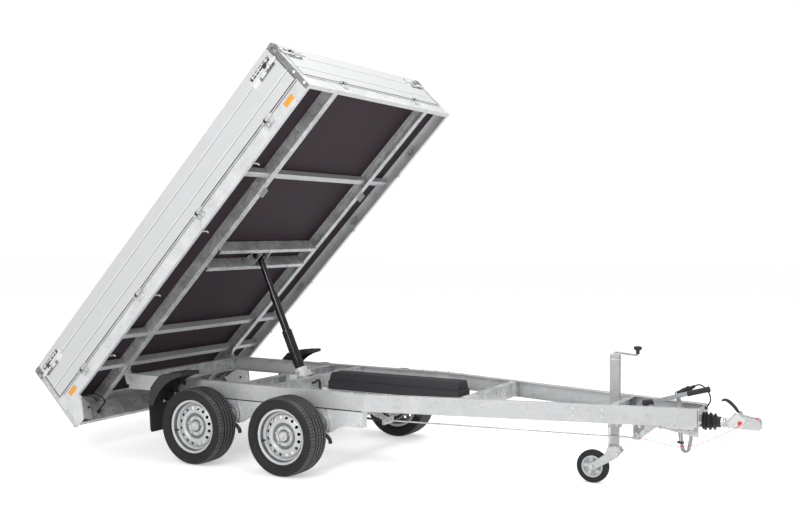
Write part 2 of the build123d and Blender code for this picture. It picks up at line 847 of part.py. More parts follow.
# Swivel fork below the leg and its wheel
fork_plate_y = 33.0
fork_plate_wall = 5.0
swivel_gap = 0.3
with BuildPart() as jockey_fork:
    with Locations((jockey_x, jockey_y, leg_bottom - swivel_gap)):
        Cylinder(30, 24, align=(Align.CENTER, Align.CENTER, Align.MAX))
    for side in (1, -1):
        with BuildSketch(Plane.XZ.offset(-(jockey_y + side * fork_plate_y))):
            with BuildLine():
                Polyline(
                    (jockey_x - 34, leg_bottom - 8),
                    (jockey_x + 30, leg_bottom - 8),
                    (jockey_x + 52, leg_bottom - 36),
                    (jockey_x + 6, leg_bottom - 88),
                    (jockey_wheel_x + 16, jockey_wheel_radius - 16),
                    (jockey_wheel_x - 16, jockey_wheel_radius - 8),
                    (jockey_wheel_x - 6, jockey_wheel_radius + 18),
                    (jockey_x - 62, leg_bottom - 66),
                    close=True,
                )
            make_face()
        extrude(amount=side * fork_plate_wall)
    with Locations((jockey_x, jockey_y, leg_bottom - 16)):
        Box(60, 2 * fork_plate_y, 16)
    with BuildSketch(Plane.XZ.offset(-(jockey_y + fork_plate_y))):
        with Locations((jockey_wheel_x, jockey_wheel_radius)):
            Circle(8)
    extrude(amount=2 * fork_plate_y)
keep(jockey_fork, "jockey_fork")

jockey_rim_radius = 70.0
jockey_spoke_count = 5


def wheel_frame(x, y, radius, side):
    """Place for a wheel drawn about Z with its outer face towards +Z; side 1 is the left."""
    return Location((x - origin_x, y, radius)) * Location((0, 0, 0), (1, 0, 0), -90 * side)


with BuildPart() as jockey_rim:
    with BuildSketch(Plane.XZ):
        with BuildLine():
            Polyline(
                (8.3, -26), (20, -26), (20, -6), (57, -6), (61, -22), (jockey_rim_radius, -24),
                (jockey_rim_radius, 24), (61, 22), (57, 6), (20, 6), (20, 26), (8.3, 26),
                close=True,
            )
        make_face()
    revolve(axis=Axis.Z)
    with BuildSketch(Plane.XY.offset(-6)):
        for window in range(jockey_spoke_count):
            with Locations(Rotation(0, 0, 360 * window / jockey_spoke_count)):
                with BuildLine():
                    Polyline((27, -7), (52, -18), (54, 0), (52, 18), (27, 7), close=True)
                make_face()
    extrude(amount=12, mode=Mode.SUBTRACT)
jockey_wheel_place = wheel_frame(jockey_wheel_x, jockey_y, jockey_wheel_radius, -1)
keep(jockey_rim, "jockey_rim", jockey_wheel_place)

with BuildPart() as jockey_tyre:
    with BuildSketch(Plane.XZ):
        with BuildLine():
            Polyline(
                (jockey_rim_radius, -24), (jockey_rim_radius + 10, -28), (jockey_wheel_radius - 12, -26),
                (jockey_wheel_radius - 3, -18), (jockey_wheel_radius, -8), (jockey_wheel_radius, 8),
                (jockey_wheel_radius - 3, 18), (jockey_wheel_radius - 12, 26),
                (jockey_rim_radius + 10, 28), (jockey_rim_radius, 24),
                close=True,
            )
        make_face()
    revolve(axis=Axis.Z)
keep(jockey_tyre, "jockey_tyre", jockey_wheel_place)

# Road wheels: rim with vents, hub and drum in one turning piece, and the tyre round it
half_rim = rim_width / 2
drum_inner_z = arm_outer_y + backplate_thickness + 2 - wheel_centre_y
drum_outer_z = drum_inner_z + drum_width
with BuildPart() as rim:
    with BuildSketch(Plane.XZ):
        with BuildLine():
            Polyline(
                (rim_flange_radius, half_rim), (rim_flange_radius, half_rim - rim_wall),
                (bead_radius, half_rim - 11), (bead_radius, 38),
                (rim_well_radius, 28), (rim_well_radius, -20),
                (bead_radius, -32), (bead_radius, 11 - half_rim),
                (rim_flange_radius, rim_wall - half_rim), (rim_flange_radius, -half_rim),
                (bead_radius - rim_wall, 7 - half_rim), (bead_radius - rim_wall, -34),
                (rim_well_radius - rim_wall, -22), (rim_well_radius - rim_wall, 30),
                (bead_radius - rim_wall, 40), (bead_radius - rim_wall, half_rim - 7),
                close=True,
            )
        make_face()
        with BuildLine():
            Polyline(
                (rim_well_radius - 1, 22), (rim_well_radius - 1, 27), (138, 40), (112, 42),
                (94, 30), (80, disc_offset + 6), (hub_bore_radius, disc_offset + 6),
                (hub_bore_radius, disc_offset), (82, disc_offset), (96, 24), (113, 36), (136, 34),
                close=True,
            )
        make_face()
        with BuildLine():
            Polyline(
                (stub_radius + 0.3, drum_inner_z), (hub_radius - 20, drum_inner_z),
                (hub_radius - 20, drum_outer_z - drum_wall),
                (drum_radius - drum_wall, drum_outer_z - drum_wall),
                (drum_radius - drum_wall, drum_inner_z), (drum_radius, drum_inner_z),
                (drum_radius, drum_outer_z), (hub_radius - 16, drum_outer_z),
                (hub_radius - 16, 0), (78, 8), (78, disc_offset), (0, disc_offset), (0, 0),
                (stub_radius + 0.3, 0),
                close=True,
            )
        make_face()
        with BuildLine():
            Polyline(
                (0, disc_offset - 2), (hub_cap_radius, disc_offset - 2), (hub_cap_radius, disc_offset + 14),
                (hub_cap_radius - 6, disc_offset + 20), (0, disc_offset + 20),
                close=True,
            )
        make_face()
    revolve(axis=Axis.Z)
    with PolarLocations(vent_circle_radius, vent_count):
        Cylinder(vent_radius, 120, align=(Align.CENTER, Align.CENTER, Align.MIN), mode=Mode.SUBTRACT)
    with PolarLocations(bolt_circle_radius, wheel_bolt_count):
        with Locations((0, 0, disc_offset + 2)):
            Cylinder(10, 16, align=(Align.CENTER, Align.CENTER, Align.MIN))

half_tyre = tyre_width / 2
with BuildPart() as tyre:
    with BuildSketch(Plane.XZ):
        with BuildLine():
            Polyline(
                (bead_radius, half_rim - 11), (rim_flange_radius, half_rim - rim_wall),
                (rim_flange_radius + 12, half_tyre - 9), (214, half_tyre), (238, half_tyre - 1),
                (256, half_tyre - 14), (wheel_radius, half_tyre - 34),
                (wheel_radius, 34 - half_tyre), (256, 14 - half_tyre),
                (238, 1 - half_tyre), (214, -half_tyre), (rim_flange_radius + 12, 9 - half_tyre),
                (rim_flange_radius, rim_wall - half_rim), (bead_radius, 11 - half_rim),
                close=True,
            )
        make_face()
    revolve(axis=Axis.Z)

for end_name, wheel_x in (("front", axle_places[1]), ("rear", axle_places[0])):
    for side_name, side in (("left", 1), ("right", -1)):
        place = wheel_frame(wheel_x, side * wheel_centre_y, wheel_radius, side)
        keep(rim, f"rim_{end_name}_{side_name}", place)
        keep(tyre, f"tyre_{end_name}_{side_name}", place)

# Ram, drawn upright from its trunnion
with BuildPart() as ram_barrel:
    with BuildSketch(Plane.XY.offset(-ram_below)):
        Circle(ram_barrel_radius)
    extrude(amount=ram_below + ram_above)
    with BuildSketch(Plane.XY.offset(-ram_collar_height / 2)):
        Circle(ram_collar_radius)
    extrude(amount=ram_collar_height)
    with BuildSketch(Plane.XZ.offset(trunnion_plate_y + trunnion_plate_thickness)):
        Circle(trunnion_radius)
    extrude(amount=-2 * (trunnion_plate_y + trunnion_plate_thickness))
    with BuildSketch(Plane.XY.offset(-ram_below + 14)):
        Circle(ram_stage_radii[0] + ram_gap)
    extrude(amount=ram_below + ram_above, mode=Mode.SUBTRACT)
keep(ram_barrel, "ram_barrel", ram_place)

for index, (top, radius) in enumerate(zip(ram_tops, ram_stage_radii)):
    with BuildPart() as ram_stage:
        with BuildSketch(Plane.XY.offset(top)):
            Circle(radius)
        stage_length = ram_stage_length - index * (ram_stage_base + ram_seat_gap)
        if index == 2:
            stage_length += ram_closed - ram_above
        extrude(amount=-stage_length)
        if index < 2:
            with BuildSketch(Plane.XY.offset(top)):
                Circle(ram_stage_radii[index + 1] + ram_gap)
            extrude(amount=-(stage_length - ram_stage_base), mode=Mode.SUBTRACT)
        else:
            with BuildSketch(Plane.XZ.offset(head_ear_y + head_ear_thickness + 4)):
                with Locations((0, top)):
                    Circle(head_pin_radius)
            extrude(amount=-2 * (head_ear_y + head_ear_thickness + 4))
    keep(ram_stage, f"ram_stage_{index + 1}", ram_place)

# Bed frame: side profiles with a floor shelf, end profiles between them
shelf_depth = 40.0
end_shelf_depth = 20.0
bead_v = 91.0
bead_gap = 4.0
bead_depth = 1.5
with BuildPart() as side_profiles:
    with BuildSketch(Plane.YZ):
        with Locations((half_bed - profile_wall / 2, profile_height / 2)):
            Rectangle(profile_wall, profile_height)
    extrude(amount=bed_length)
    with BuildSketch(Plane.YZ.offset(profile_wall)):
        with Locations((half_bed - shelf_depth / 2, floor_bottom - profile_wall / 2)):
            Rectangle(shelf_depth, profile_wall)
        with Locations((half_bed - profile_lip / 2, profile_wall / 2)):
            Rectangle(profile_lip, profile_wall)
    extrude(amount=bed_length - 2 * profile_wall)
    with BuildSketch(Plane.YZ):
        with Locations((half_bed - bead_depth / 2, bead_v)):
            Rectangle(bead_depth, bead_gap)
    extrude(amount=bed_length, mode=Mode.SUBTRACT)
    mirror(about=Plane.XZ)
keep(side_profiles, "side_profiles", bed_place)

inside_half = half_bed - profile_wall
with BuildPart() as end_profiles:
    for web_u, lip_sign in ((0.0, 1), (bed_length, -1)):
        with Locations((web_u + lip_sign * profile_wall / 2, 0, profile_height / 2)):
            Box(profile_wall, 2 * inside_half, profile_height)
        with Locations((web_u + lip_sign * end_shelf_depth / 2, 0, floor_bottom - profile_wall / 2)):
            Box(end_shelf_depth, 2 * (half_bed - shelf_depth), profile_wall)
        with Locations((web_u + lip_sign * profile_lip / 2, 0, profile_wall / 2)):
            Box(profile_lip, 2 * (half_bed - profile_lip), profile_wall)
        with Locations((web_u + lip_sign * bead_depth / 2, 0, bead_v)):
            Box(bead_depth, 2 * inside_half, bead_gap, mode=Mode.SUBTRACT)
keep(end_profiles, "end_profiles", bed_place)

notch_clearance = 1.0
with BuildPart() as bed_floor:
    with Locations((bed_length / 2, 0, profile_height - floor_thickness / 2)):
        Box(bed_length - 2 * profile_wall, 2 * inside_half, floor_thickness)
    for notch_u, notch_length, end_align in (
        (0.0, rear_post - board_clearance + notch_clearance, Align.MIN),
        (bed_length, front_post - board_clearance + notch_clearance, Align.MAX),
    ):
        for side, side_align in ((1, Align.MAX), (-1, Align.MIN)):
            with Locations((notch_u, side * half_bed, profile_height)):
                Box(
                    notch_length,
                    post_depth + notch_clearance,
                    floor_thickness,
                    align=(end_align, side_align, Align.MAX),
                    mode=Mode.SUBTRACT,
                )
keep(bed_floor, "bed_floor", bed_place)

# Two long beams under the floor, with the hinge knuckles and the centring guides below them
guide_u = 2190.0
guide_length = 70.0
guide_bottom = -30.0
guide_y = 640.0
beam_section_height = floor_bottom - bed_beam_bottom
beam_flange_edge = beam_outer_y - bed_beam_width
with BuildPart() as long_beams:
    beam_middle_y = beam_outer_y - bed_beam_width / 2
    with BuildSketch(Plane.YZ.offset(end_shelf_depth)):
        with Locations((beam_middle_y, bed_beam_bottom + beam_section_height / 2)):
            Rectangle(bed_beam_width, beam_section_height)
        with Locations((beam_middle_y - beam_wall, bed_beam_bottom + beam_section_height / 2)):
            Rectangle(bed_beam_width, beam_section_height - 2 * beam_wall, mode=Mode.SUBTRACT)
    extrude(amount=bed_length - 2 * end_shelf_depth)
    with BuildSketch(Plane.XZ.offset(-(bed_hinge_y - knuckle_thickness / 2))):
        with Locations((bed_hinge_u, bed_hinge_v)):
            Circle(knuckle_radius)
        with BuildLine():
            Polyline(
                (bed_hinge_u - knuckle_radius, bed_hinge_v),
                (bed_hinge_u + knuckle_radius, bed_hinge_v),
                (bed_hinge_u + 60, bed_beam_bottom),
                (bed_hinge_u - 60, bed_beam_bottom),
                close=True,
            )
        make_face()
        with Locations((bed_hinge_u, bed_hinge_v)):
            Circle(hinge_pin_radius + pin_clearance, mode=Mode.SUBTRACT)
    extrude(amount=-knuckle_thickness)
    with Locations((guide_u, guide_y, (guide_bottom + bed_beam_bottom) / 2)):
        Box(guide_length, 6, bed_beam_bottom - guide_bottom)
    mirror(about=Plane.XZ)
keep(long_beams, "long_beams", bed_place)

# Cross members between the long beams, and stubs from the beams out to the side profiles
member_top = floor_bottom - beam_wall
member_bottom = member_top - cross_member_height
with BuildPart() as bed_cross_members:
    for low_u in cross_member_u:
        middle_u = low_u + cross_member_width / 2
        section_plane = Plane((middle_u, 0, member_top - cross_member_height / 2), x_dir=(1, 0, 0), z_dir=(0, -1, 0))
        with BuildSketch(section_plane) as member_section:
            channel_face(cross_member_width, cross_member_height, beam_wall, False)
        extrude(member_section.sketch, amount=beam_outer_y - beam_wall, both=True)
        for side in (1, -1):
            stub_plane = section_plane.offset(-side * beam_outer_y)
            with BuildSketch(stub_plane) as stub_section:
                channel_face(cross_member_width, cross_member_height, beam_wall, False)
            extrude(stub_section.sketch, amount=-side * (inside_half - beam_outer_y))
keep(bed_cross_members, "bed_cross_members", bed_place)

head_member_height = member_top - head_member_bottom
ear_bottom = 8.0
with BuildPart() as ram_head_frame:
    for low_u in head_member_u:
        section_plane = Plane(
            (low_u + head_member_width / 2, 0, head_member_bottom + head_member_height / 2),
            x_dir=(1, 0, 0),
            z_dir=(0, -1, 0),
        )
        with BuildSketch(section_plane) as member_section:
            channel_face(head_member_width, head_member_height, beam_wall, False)
        extrude(member_section.sketch, amount=beam_flange_edge, both=True)
    ear_start = head_member_u[0] + head_member_width
    ear_end = head_member_u[1] + head_member_width - beam_wall
    for side in (1, -1):
        with BuildSketch(Plane.XZ.offset(-side * head_ear_y)):
            with Locations(((ear_start + ear_end) / 2, (ear_bottom + member_top) / 2)):
                Rectangle(ear_end - ear_start, member_top - ear_bottom)
            seat_v = ram_head_v + head_pin_radius + pin_clearance - head_hole_radius
            with Locations((ram_head_u, seat_v)):
                Circle(head_hole_radius, mode=Mode.SUBTRACT)
        extrude(amount=-side * head_ear_thickness)
keep(ram_head_frame, "ram_head_frame", bed_place)

# Rear apron below the bed's end, with folded side returns and lamps
apron_fold = 34.0
with BuildPart() as rear_apron:
    with Locations((apron_inset - apron_wall / 2, 0, -apron_depth / 2)):
        Box(apron_wall, 2 * half_bed, apron_depth)
    with Locations((apron_inset + apron_fold / 2 - apron_wall, 0, -apron_depth + apron_wall / 2)):
        Box(apron_fold, 2 * half_bed, apron_wall)
    with BuildSketch(Plane.XZ.offset(-(half_bed - apron_wall))):
        with BuildLine():
            Polyline(
                (0, 0), (190, 0), (200, -28), (94, -apron_depth), (0, -apron_depth),
                close=True,
            )
        make_face()
    extrude(amount=-apron_wall)
    mirror(about=Plane.XZ)
keep(rear_apron, "rear_apron", bed_place)

lamp_length = 236.0
lamp_height = 100.0
lamp_depth = 18.0
lamp_y = 800.0
lamp_drop = 76.0
with BuildPart() as rear_lamps:
    for side in (1, -1):
        with BuildSketch(Plane.YZ.offset(apron_inset - apron_wall)):
            with Locations((side * lamp_y, -lamp_drop)):
                RectangleRounded(lamp_length, lamp_height, 14)
        extrude(amount=-lamp_depth)
keep(rear_lamps, "rear_lamps", bed_place)

reflector_thickness = 6.0
with BuildPart() as reflectors:
    for reflector_u, reflector_v in ((165.0, 56.0), (bed_length - 175.0, 50.0)):
        with BuildSketch(Plane.XZ.offset(-half_bed)):
            with Locations((reflector_u, reflector_v)):
                RectangleRounded(88, 40, 4)
        extrude(amount=-reflector_thickness)
    mirror(about=Plane.XZ)
keep(reflectors, "reflectors", bed_place)

hook_u = [599.0 + 610.0 * hook for hook in range(4)]
with BuildPart() as rope_hooks:
    for place_u in hook_u:
        with BuildSketch(Plane.XZ.offset(-(half_bed - profile_lip - 34))):
            with Locations((place_u, -6)):
                Circle(6)
        extrude(amount=-60)
    mirror(about=Plane.XZ)
keep(rope_hooks, "rope_hooks", bed_place)

# Corner posts: hollow, standing on the profiles; the rear ones run down behind them as angles
post_foot = profile_height
post_strip_foot = -140.0
with BuildPart() as corner_posts:
    for low_u, high_u in (
        (-rear_post_overhang, rear_post - board_clearance),
        (bed_length - front_post + board_clearance, bed_length),
    ):
        post_width = high_u - low_u
        with BuildSketch(Plane.XY.offset(post_foot)):
            with Locations(((low_u + high_u) / 2, half_bed - post_depth / 2)):
                Rectangle(post_width, post_depth)
                Rectangle(post_width - 2 * post_wall, post_depth - 2 * post_wall, mode=Mode.SUBTRACT)
        extrude(amount=board_top - post_foot - post_wall)
        with BuildSketch(Plane.XY.offset(board_top - post_wall)):
            with Locations(((low_u + high_u) / 2, half_bed - post_depth / 2)):
                Rectangle(post_width, post_depth)
        extrude(amount=post_wall)
    with BuildSketch(Plane.XY.offset(post_strip_foot)):
        with Locations((-rear_post_overhang / 2, half_bed - post_depth / 2)):
            Rectangle(rear_post_overhang, post_depth)
        with Locations((-rear_post_overhang / 2 + post_wall, half_bed - post_depth / 2 - post_wall)):
            Rectangle(rear_post_overhang, post_depth, mode=Mode.SUBTRACT)
    extrude(amount=post_foot - post_strip_foot)
    mirror(about=Plane.XZ)
keep(corner_posts, "corner_posts", bed_place)

# Drop boards, each drawn in its own frame: X along it, Y outwards, Z up from its lower edge
side_length = bed_length - rear_post - front_post
end_length = bed_width - 2 * (post_depth + board_clearance)
board_table = (
    # name, length, hinge places along it, corner place and turn about the upright
    ("left_board", side_length, [u - rear_post for u in side_hinge_u], (rear_post, half_bed), 0),
    (
        "right_board",
        side_length,
        [bed_length - front_post - u for u in side_hinge_u],
        (bed_length - front_post, -half_bed),
        180,
    ),
    ("front_board", end_length, [end_length / 2 + y for y in end_hinge_y], (bed_length, end_length / 2), -90),
    ("tailgate", end_length, [end_length / 2 + y for y in end_hinge_y], (0.0, -end_length / 2), 90),
)
leaf_half_length = 50.0
leaf_half_foot = 34.0
leaf_depth = 55.0
leaf_thickness = 5.0
strap_height = 10.0
strap_thickness = 4.0
strap_width = 34.0
strap_shift = 10.0
slot_gap = 0.5
pivot_z = board_hinge_v - board_bottom
plank_edges = (0.0, *groove_places, board_height)
plank_skin = groove_depth + 1.5
plank_wall = 4.0


def board_place(corner, turn):
    """Place of a board's own frame on the raised bed."""
    return (
        bed_place
        * Location((corner[0], corner[1], board_bottom))
        * Location((0, 0, 0), (0, 0, 1), turn)
    )


leaf_places = []
for board_name, board_length, hinge_places, corner, turn in board_table:
    with BuildPart() as board:
        with BuildSketch(Plane.YZ):
            with Locations((-board_thickness / 2, board_height / 2)):
                Rectangle(board_thickness, board_height)
            for groove_z in groove_places:
                with Locations((-groove_depth / 2, groove_z)):
                    Rectangle(groove_depth, groove_width, mode=Mode.SUBTRACT)
        extrude(amount=board_length)
        with BuildSketch(Plane.YZ.offset(plank_wall)):
            for low_z, high_z in zip(plank_edges, plank_edges[1:]):
                with Locations((-board_thickness / 2, (low_z + high_z) / 2)):
                    Rectangle(board_thickness - 2 * plank_skin, high_z - low_z - 2 * plank_wall)
        extrude(amount=board_length - 2 * plank_wall, mode=Mode.SUBTRACT)
        for hinge_x in hinge_places:
            strap_x = hinge_x + strap_shift - strap_width / 2
            with BuildSketch(Plane.YZ.offset(strap_x)):
                with Locations((board_hinge_out, pivot_z)):
                    Circle(board_knuckle_radius)
                with BuildLine():
                    Polyline(
                        (0, 0),
                        (0, strap_height),
                        (strap_thickness, strap_height),
                        (strap_thickness, 3),
                        (board_hinge_out + board_knuckle_radius, pivot_z),
                        (board_hinge_out, pivot_z),
                        close=True,
                    )
                make_face()
                with Locations((board_hinge_out, pivot_z)):
                    Circle(board_pin_radius + pin_clearance, mode=Mode.SUBTRACT)
            extrude(amount=strap_width)
    keep(board, board_name, board_place(corner, turn))
    leaf_places.append((hinge_places, corner, turn))

leaf_solids = []
for hinge_places, corner, turn in leaf_places:
    with BuildPart() as leaves:
        for hinge_x in hinge_places:
            with BuildSketch(Plane.XZ):
                with BuildLine():
                    foot_z = pivot_z - leaf_depth
                    Polyline(
                        (hinge_x - leaf_half_length, pivot_z),
                        (hinge_x + leaf_half_length, pivot_z),
                        (hinge_x + leaf_half_length, pivot_z - 15),
                        (hinge_x + leaf_half_foot, pivot_z - 23),
                        (hinge_x + leaf_half_foot, foot_z + 6),
                        (hinge_x + leaf_half_foot - 6, foot_z),
                        (hinge_x - leaf_half_foot + 6, foot_z),
                        (hinge_x - leaf_half_foot, foot_z + 6),
                        (hinge_x - leaf_half_foot, pivot_z - 23),
                        (hinge_x - leaf_half_length, pivot_z - 15),
                        close=True,
                    )
                make_face()
            extrude(amount=-leaf_thickness)
            with BuildSketch(Plane.YZ.offset(hinge_x - leaf_half_length)):
                with Locations((board_hinge_out, pivot_z)):
                    Circle(board_knuckle_radius)
            extrude(amount=2 * leaf_half_length)
            with Locations((hinge_x + strap_shift, board_knuckle_radius, pivot_z)):
                Box(
                    strap_width + 2 * slot_gap,
                    2 * board_knuckle_radius + 4,
                    2 * (board_knuckle_radius + slot_gap),
                    mode=Mode.SUBTRACT,
                )
            with BuildSketch(Plane.YZ.offset(hinge_x + strap_shift - strap_width / 2 - 1)):
                with Locations((board_hinge_out, pivot_z)):
                    Circle(board_pin_radius)
            extrude(amount=strap_width + 2)
    place = Location((corner[0], corner[1], board_bottom)) * Location((0, 0, 0), (0, 0, 1), turn)
    leaf_solids += [place * solid for solid in leaves.part.solids()]
keep_group(leaf_solids, "board_hinge_leaves", bed_place)

# Over-centre latches at both ends of each board: a pressed tray, a hook bar and a hinged handle
latch_inset = 4.0
latch_z = 209.0
tray_length = 224.0
tray_half_height = 31.0
tray_rim = 3.0
latch_tray_depth = 5.0
hook_length = 96.0
hook_half_height = 11.0
handle_length = 138.0
handle_half_height = 20.0
latch_depth = 13.0
for board_name, board_length, hinge_places, corner, turn in board_table:
    with BuildPart() as latches:
        for end_x, inwards in ((latch_inset, 1), (board_length - latch_inset, -1)):
            tray_x = end_x + inwards * tray_length / 2
            with BuildSketch(Plane.XZ):
                with Locations((tray_x, latch_z)):
                    RectangleRounded(tray_length, 2 * tray_half_height, 10)
            extrude(amount=-latch_tray_depth)
            with BuildSketch(Plane.XZ.offset(-tray_rim)):
                with Locations((tray_x, latch_z)):
                    RectangleRounded(
                        tray_length - 2 * tray_rim, 2 * (tray_half_height - tray_rim), 8
                    )
            extrude(amount=tray_rim - latch_tray_depth, mode=Mode.SUBTRACT)
            with BuildSketch(Plane.XZ):
                with Locations((end_x + inwards * hook_length / 2, latch_z - 8)):
                    RectangleRounded(hook_length, 2 * hook_half_height, 7)
                with Locations((end_x + inwards * (hook_length + handle_length / 2 - 18), latch_z)):
                    RectangleRounded(handle_length, 2 * handle_half_height, 12)
            extrude(amount=-latch_depth)
            with BuildSketch(Plane.XZ.offset(tray_rim - latch_depth)):
                with Locations((end_x + inwards * (hook_length + handle_length / 2 - 6), latch_z)):
                    SlotOverall(handle_length - 44, 2 * handle_half_height - 16)
            extrude(amount=-tray_rim, mode=Mode.SUBTRACT)
    keep(latches, f"{board_name}_latches", board_place(corner, turn))


def corner_radii(points):
    """Radius of each corner of a route: as large as its two runs allow."""
    radii = []
    for before, here, after in zip(points, points[1:], points[2:]):
        run_in = Vector(*here) - Vector(*before)
        run_out = Vector(*after) - Vector(*here)
        turn = math.radians(run_in.get_angle(run_out))
        radii.append(0.45 * min(run_in.length, run_out.length) / math.tan(turn / 2))
    return radii


def cord(points, radius, name):
    """Round tube along a route of straight runs and tangent arcs."""
    radii = corner_radii(points)
    print(name, "radii", [round(r) for r in radii])
    with BuildPart() as tube:
        with BuildLine() as route:
            FilletPolyline(*points, radius=radii)
        start = route.line @ 0
        with BuildSketch(Plane(origin=start, z_dir=route.line % 0)) as section:
            Circle(radius)
        sweep(section.sketch, path=route.line)
    length = sum(edge.length for edge in route.line.edges())
    print(name, "length", round(length), "volume ratio",
          round(tube.part.volume / (math.pi * radius**2 * length), 4))
    keep(tube, name)


cord(cable_points, cable_radius, "breakaway_cable")
cord(lead_points, lead_radius, "lighting_lead")

plug_reach = math.dist(plug_start, lead_points[0])
with BuildPart() as lead_plug:
    with BuildSketch(plug_plane):
        Circle(plug_radius)
    extrude(amount=plug_reach * 0.45)
    with BuildSketch(plug_plane.offset(plug_reach * 0.45)):
        Circle(18)
    with BuildSketch(plug_plane.offset(plug_reach)):
        Circle(8)
    loft()
keep(lead_plug, "lead_plug")
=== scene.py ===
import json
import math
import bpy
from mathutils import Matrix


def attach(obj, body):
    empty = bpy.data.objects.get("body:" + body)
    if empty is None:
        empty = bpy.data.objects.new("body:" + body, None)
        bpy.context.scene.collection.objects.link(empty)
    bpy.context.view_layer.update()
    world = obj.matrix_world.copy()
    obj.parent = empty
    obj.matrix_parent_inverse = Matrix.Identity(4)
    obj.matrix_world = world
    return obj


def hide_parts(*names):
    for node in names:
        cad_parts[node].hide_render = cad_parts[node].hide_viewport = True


bl_info = {
    "name": "Dump trailer dressing",
    "version": (1, 0, 0),
    "blender": (4, 5, 0),
    "location": "3D View > Sidebar > Trailer",
    "description": "Dresses the packed dump trailer: finishes, treads, fasteners, cords and stage",
    "category": "Object",
}

import bmesh
import bpy
from bpy.props import FloatProperty, FloatVectorProperty, IntProperty, PointerProperty
from mathutils import Matrix, Vector

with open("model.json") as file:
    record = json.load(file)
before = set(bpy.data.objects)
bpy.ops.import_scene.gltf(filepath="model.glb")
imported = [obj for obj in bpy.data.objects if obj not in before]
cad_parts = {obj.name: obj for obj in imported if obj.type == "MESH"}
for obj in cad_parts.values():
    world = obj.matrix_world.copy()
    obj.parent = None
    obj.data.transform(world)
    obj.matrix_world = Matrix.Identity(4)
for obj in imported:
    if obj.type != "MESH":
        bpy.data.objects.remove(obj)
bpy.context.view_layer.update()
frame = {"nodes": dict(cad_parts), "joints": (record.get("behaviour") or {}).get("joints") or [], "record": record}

# Frames in which the pieces are drawn, in millimetres, as the part's source draws them
MM = Matrix.Scale(0.001, 4)
joints = {joint["name"]: joint for joint in frame["joints"]}
axle_half_spacing = 371.0
wheel_radius = 262.5
bed_length = 3081.0
bed_width = 1962.0
half_bed = bed_width / 2
board_bottom = 110.0
tilt = math.radians(-joints["bed_tilt"]["range_deg"][0])


def joint_place(name):
    """Where a joint stands in the row frame, in metres."""
    return Vector(joints[name]["pos_m"])


def shift(place, x, y, z):
    """A frame moved along its own axes."""
    return place @ Matrix.Translation((x, y, z))


def aim(direction):
    """Turn that points Z along a direction."""
    return Vector(direction).to_track_quat("Z", "Y").to_matrix().to_4x4()


def sideways(side):
    """Turn that points Z to the trailer's left for side 1, and to its right for side -1."""
    return Matrix.Rotation(-side * math.pi / 2, 4, "X")


def upright(side):
    """Frame change that keeps X, stands Y up and points Z as sideways does."""
    return Matrix(((1, 0, 0, 0), (0, 0, side, 0), (0, 1, 0, 0), (0, 0, 0, 1)))


# Z along X; and X across, Y up and Z along the trailer
forwards = Matrix.Rotation(math.pi / 2, 4, "Y")
end_on = Matrix(((0, 0, 1, 0), (1, 0, 0, 0), (0, 1, 0, 0), (0, 0, 0, 1)))

front_wheel = joint_place("wheel_front_left_spin")
chassis_mm = Matrix.Translation((front_wheel.x - axle_half_spacing / 1000, 0, 0)) @ MM
bed_turn = Matrix.Rotation(-tilt, 4, "Y")
bed_pin_x, bed_pin_drop = 364, 12
bed_mm = shift(
    Matrix.Translation(joint_place("bed_tilt")) @ bed_turn @ MM, -bed_pin_x, 0, bed_pin_drop
)
ram_lean = math.radians(24.1388)
ram_mm = Matrix.Translation(joint_place("ram_tilt")) @ Matrix.Rotation(-ram_lean, 4, "Y") @ MM
mast_x, mast_y, mast_top = 2345.0, 22.0, 824.0


def wheel_mm(end, side):
    """Frame of a road wheel, drawn about Z with its outer face towards +Z."""
    sign = 1 if side == "left" else -1
    centre = joint_place(f"wheel_{end}_{side}_spin")
    return Matrix.Translation(centre) @ sideways(sign) @ MM


side_length = bed_length - 76.0
end_length = bed_width - 94.0
side_hinges = (363.0, 1124.0, bed_length - 1182.0, bed_length - 370.0)
end_hinges = (end_length / 2 - 500.0, end_length / 2 + 500.0)
latch_inset = 4.0
latch_z = 221.0
pivot_z = -15.0
BOARDS = {
    # name: length, corner along and across the bed, turn about the upright, hinges along it
    "left_board": (side_length, (31.0, half_bed), 0, [u - 31.0 for u in side_hinges]),
    "right_board": (
        side_length, (bed_length - 45.0, -half_bed), 180, [bed_length - 45.0 - u for u in side_hinges],
    ),
    "front_board": (end_length, (bed_length, end_length / 2), -90, end_hinges),
    "tailgate": (end_length, (0.0, -end_length / 2), 90, end_hinges),
}


def board_mm(name):
    """Frame of a drop board: X along it, Y outwards, Z up from its lower edge."""
    _, (corner_u, corner_y), turn, _ = BOARDS[name]
    return shift(bed_mm, corner_u, corner_y, board_bottom) @ Matrix.Rotation(math.radians(turn), 4, "Z")


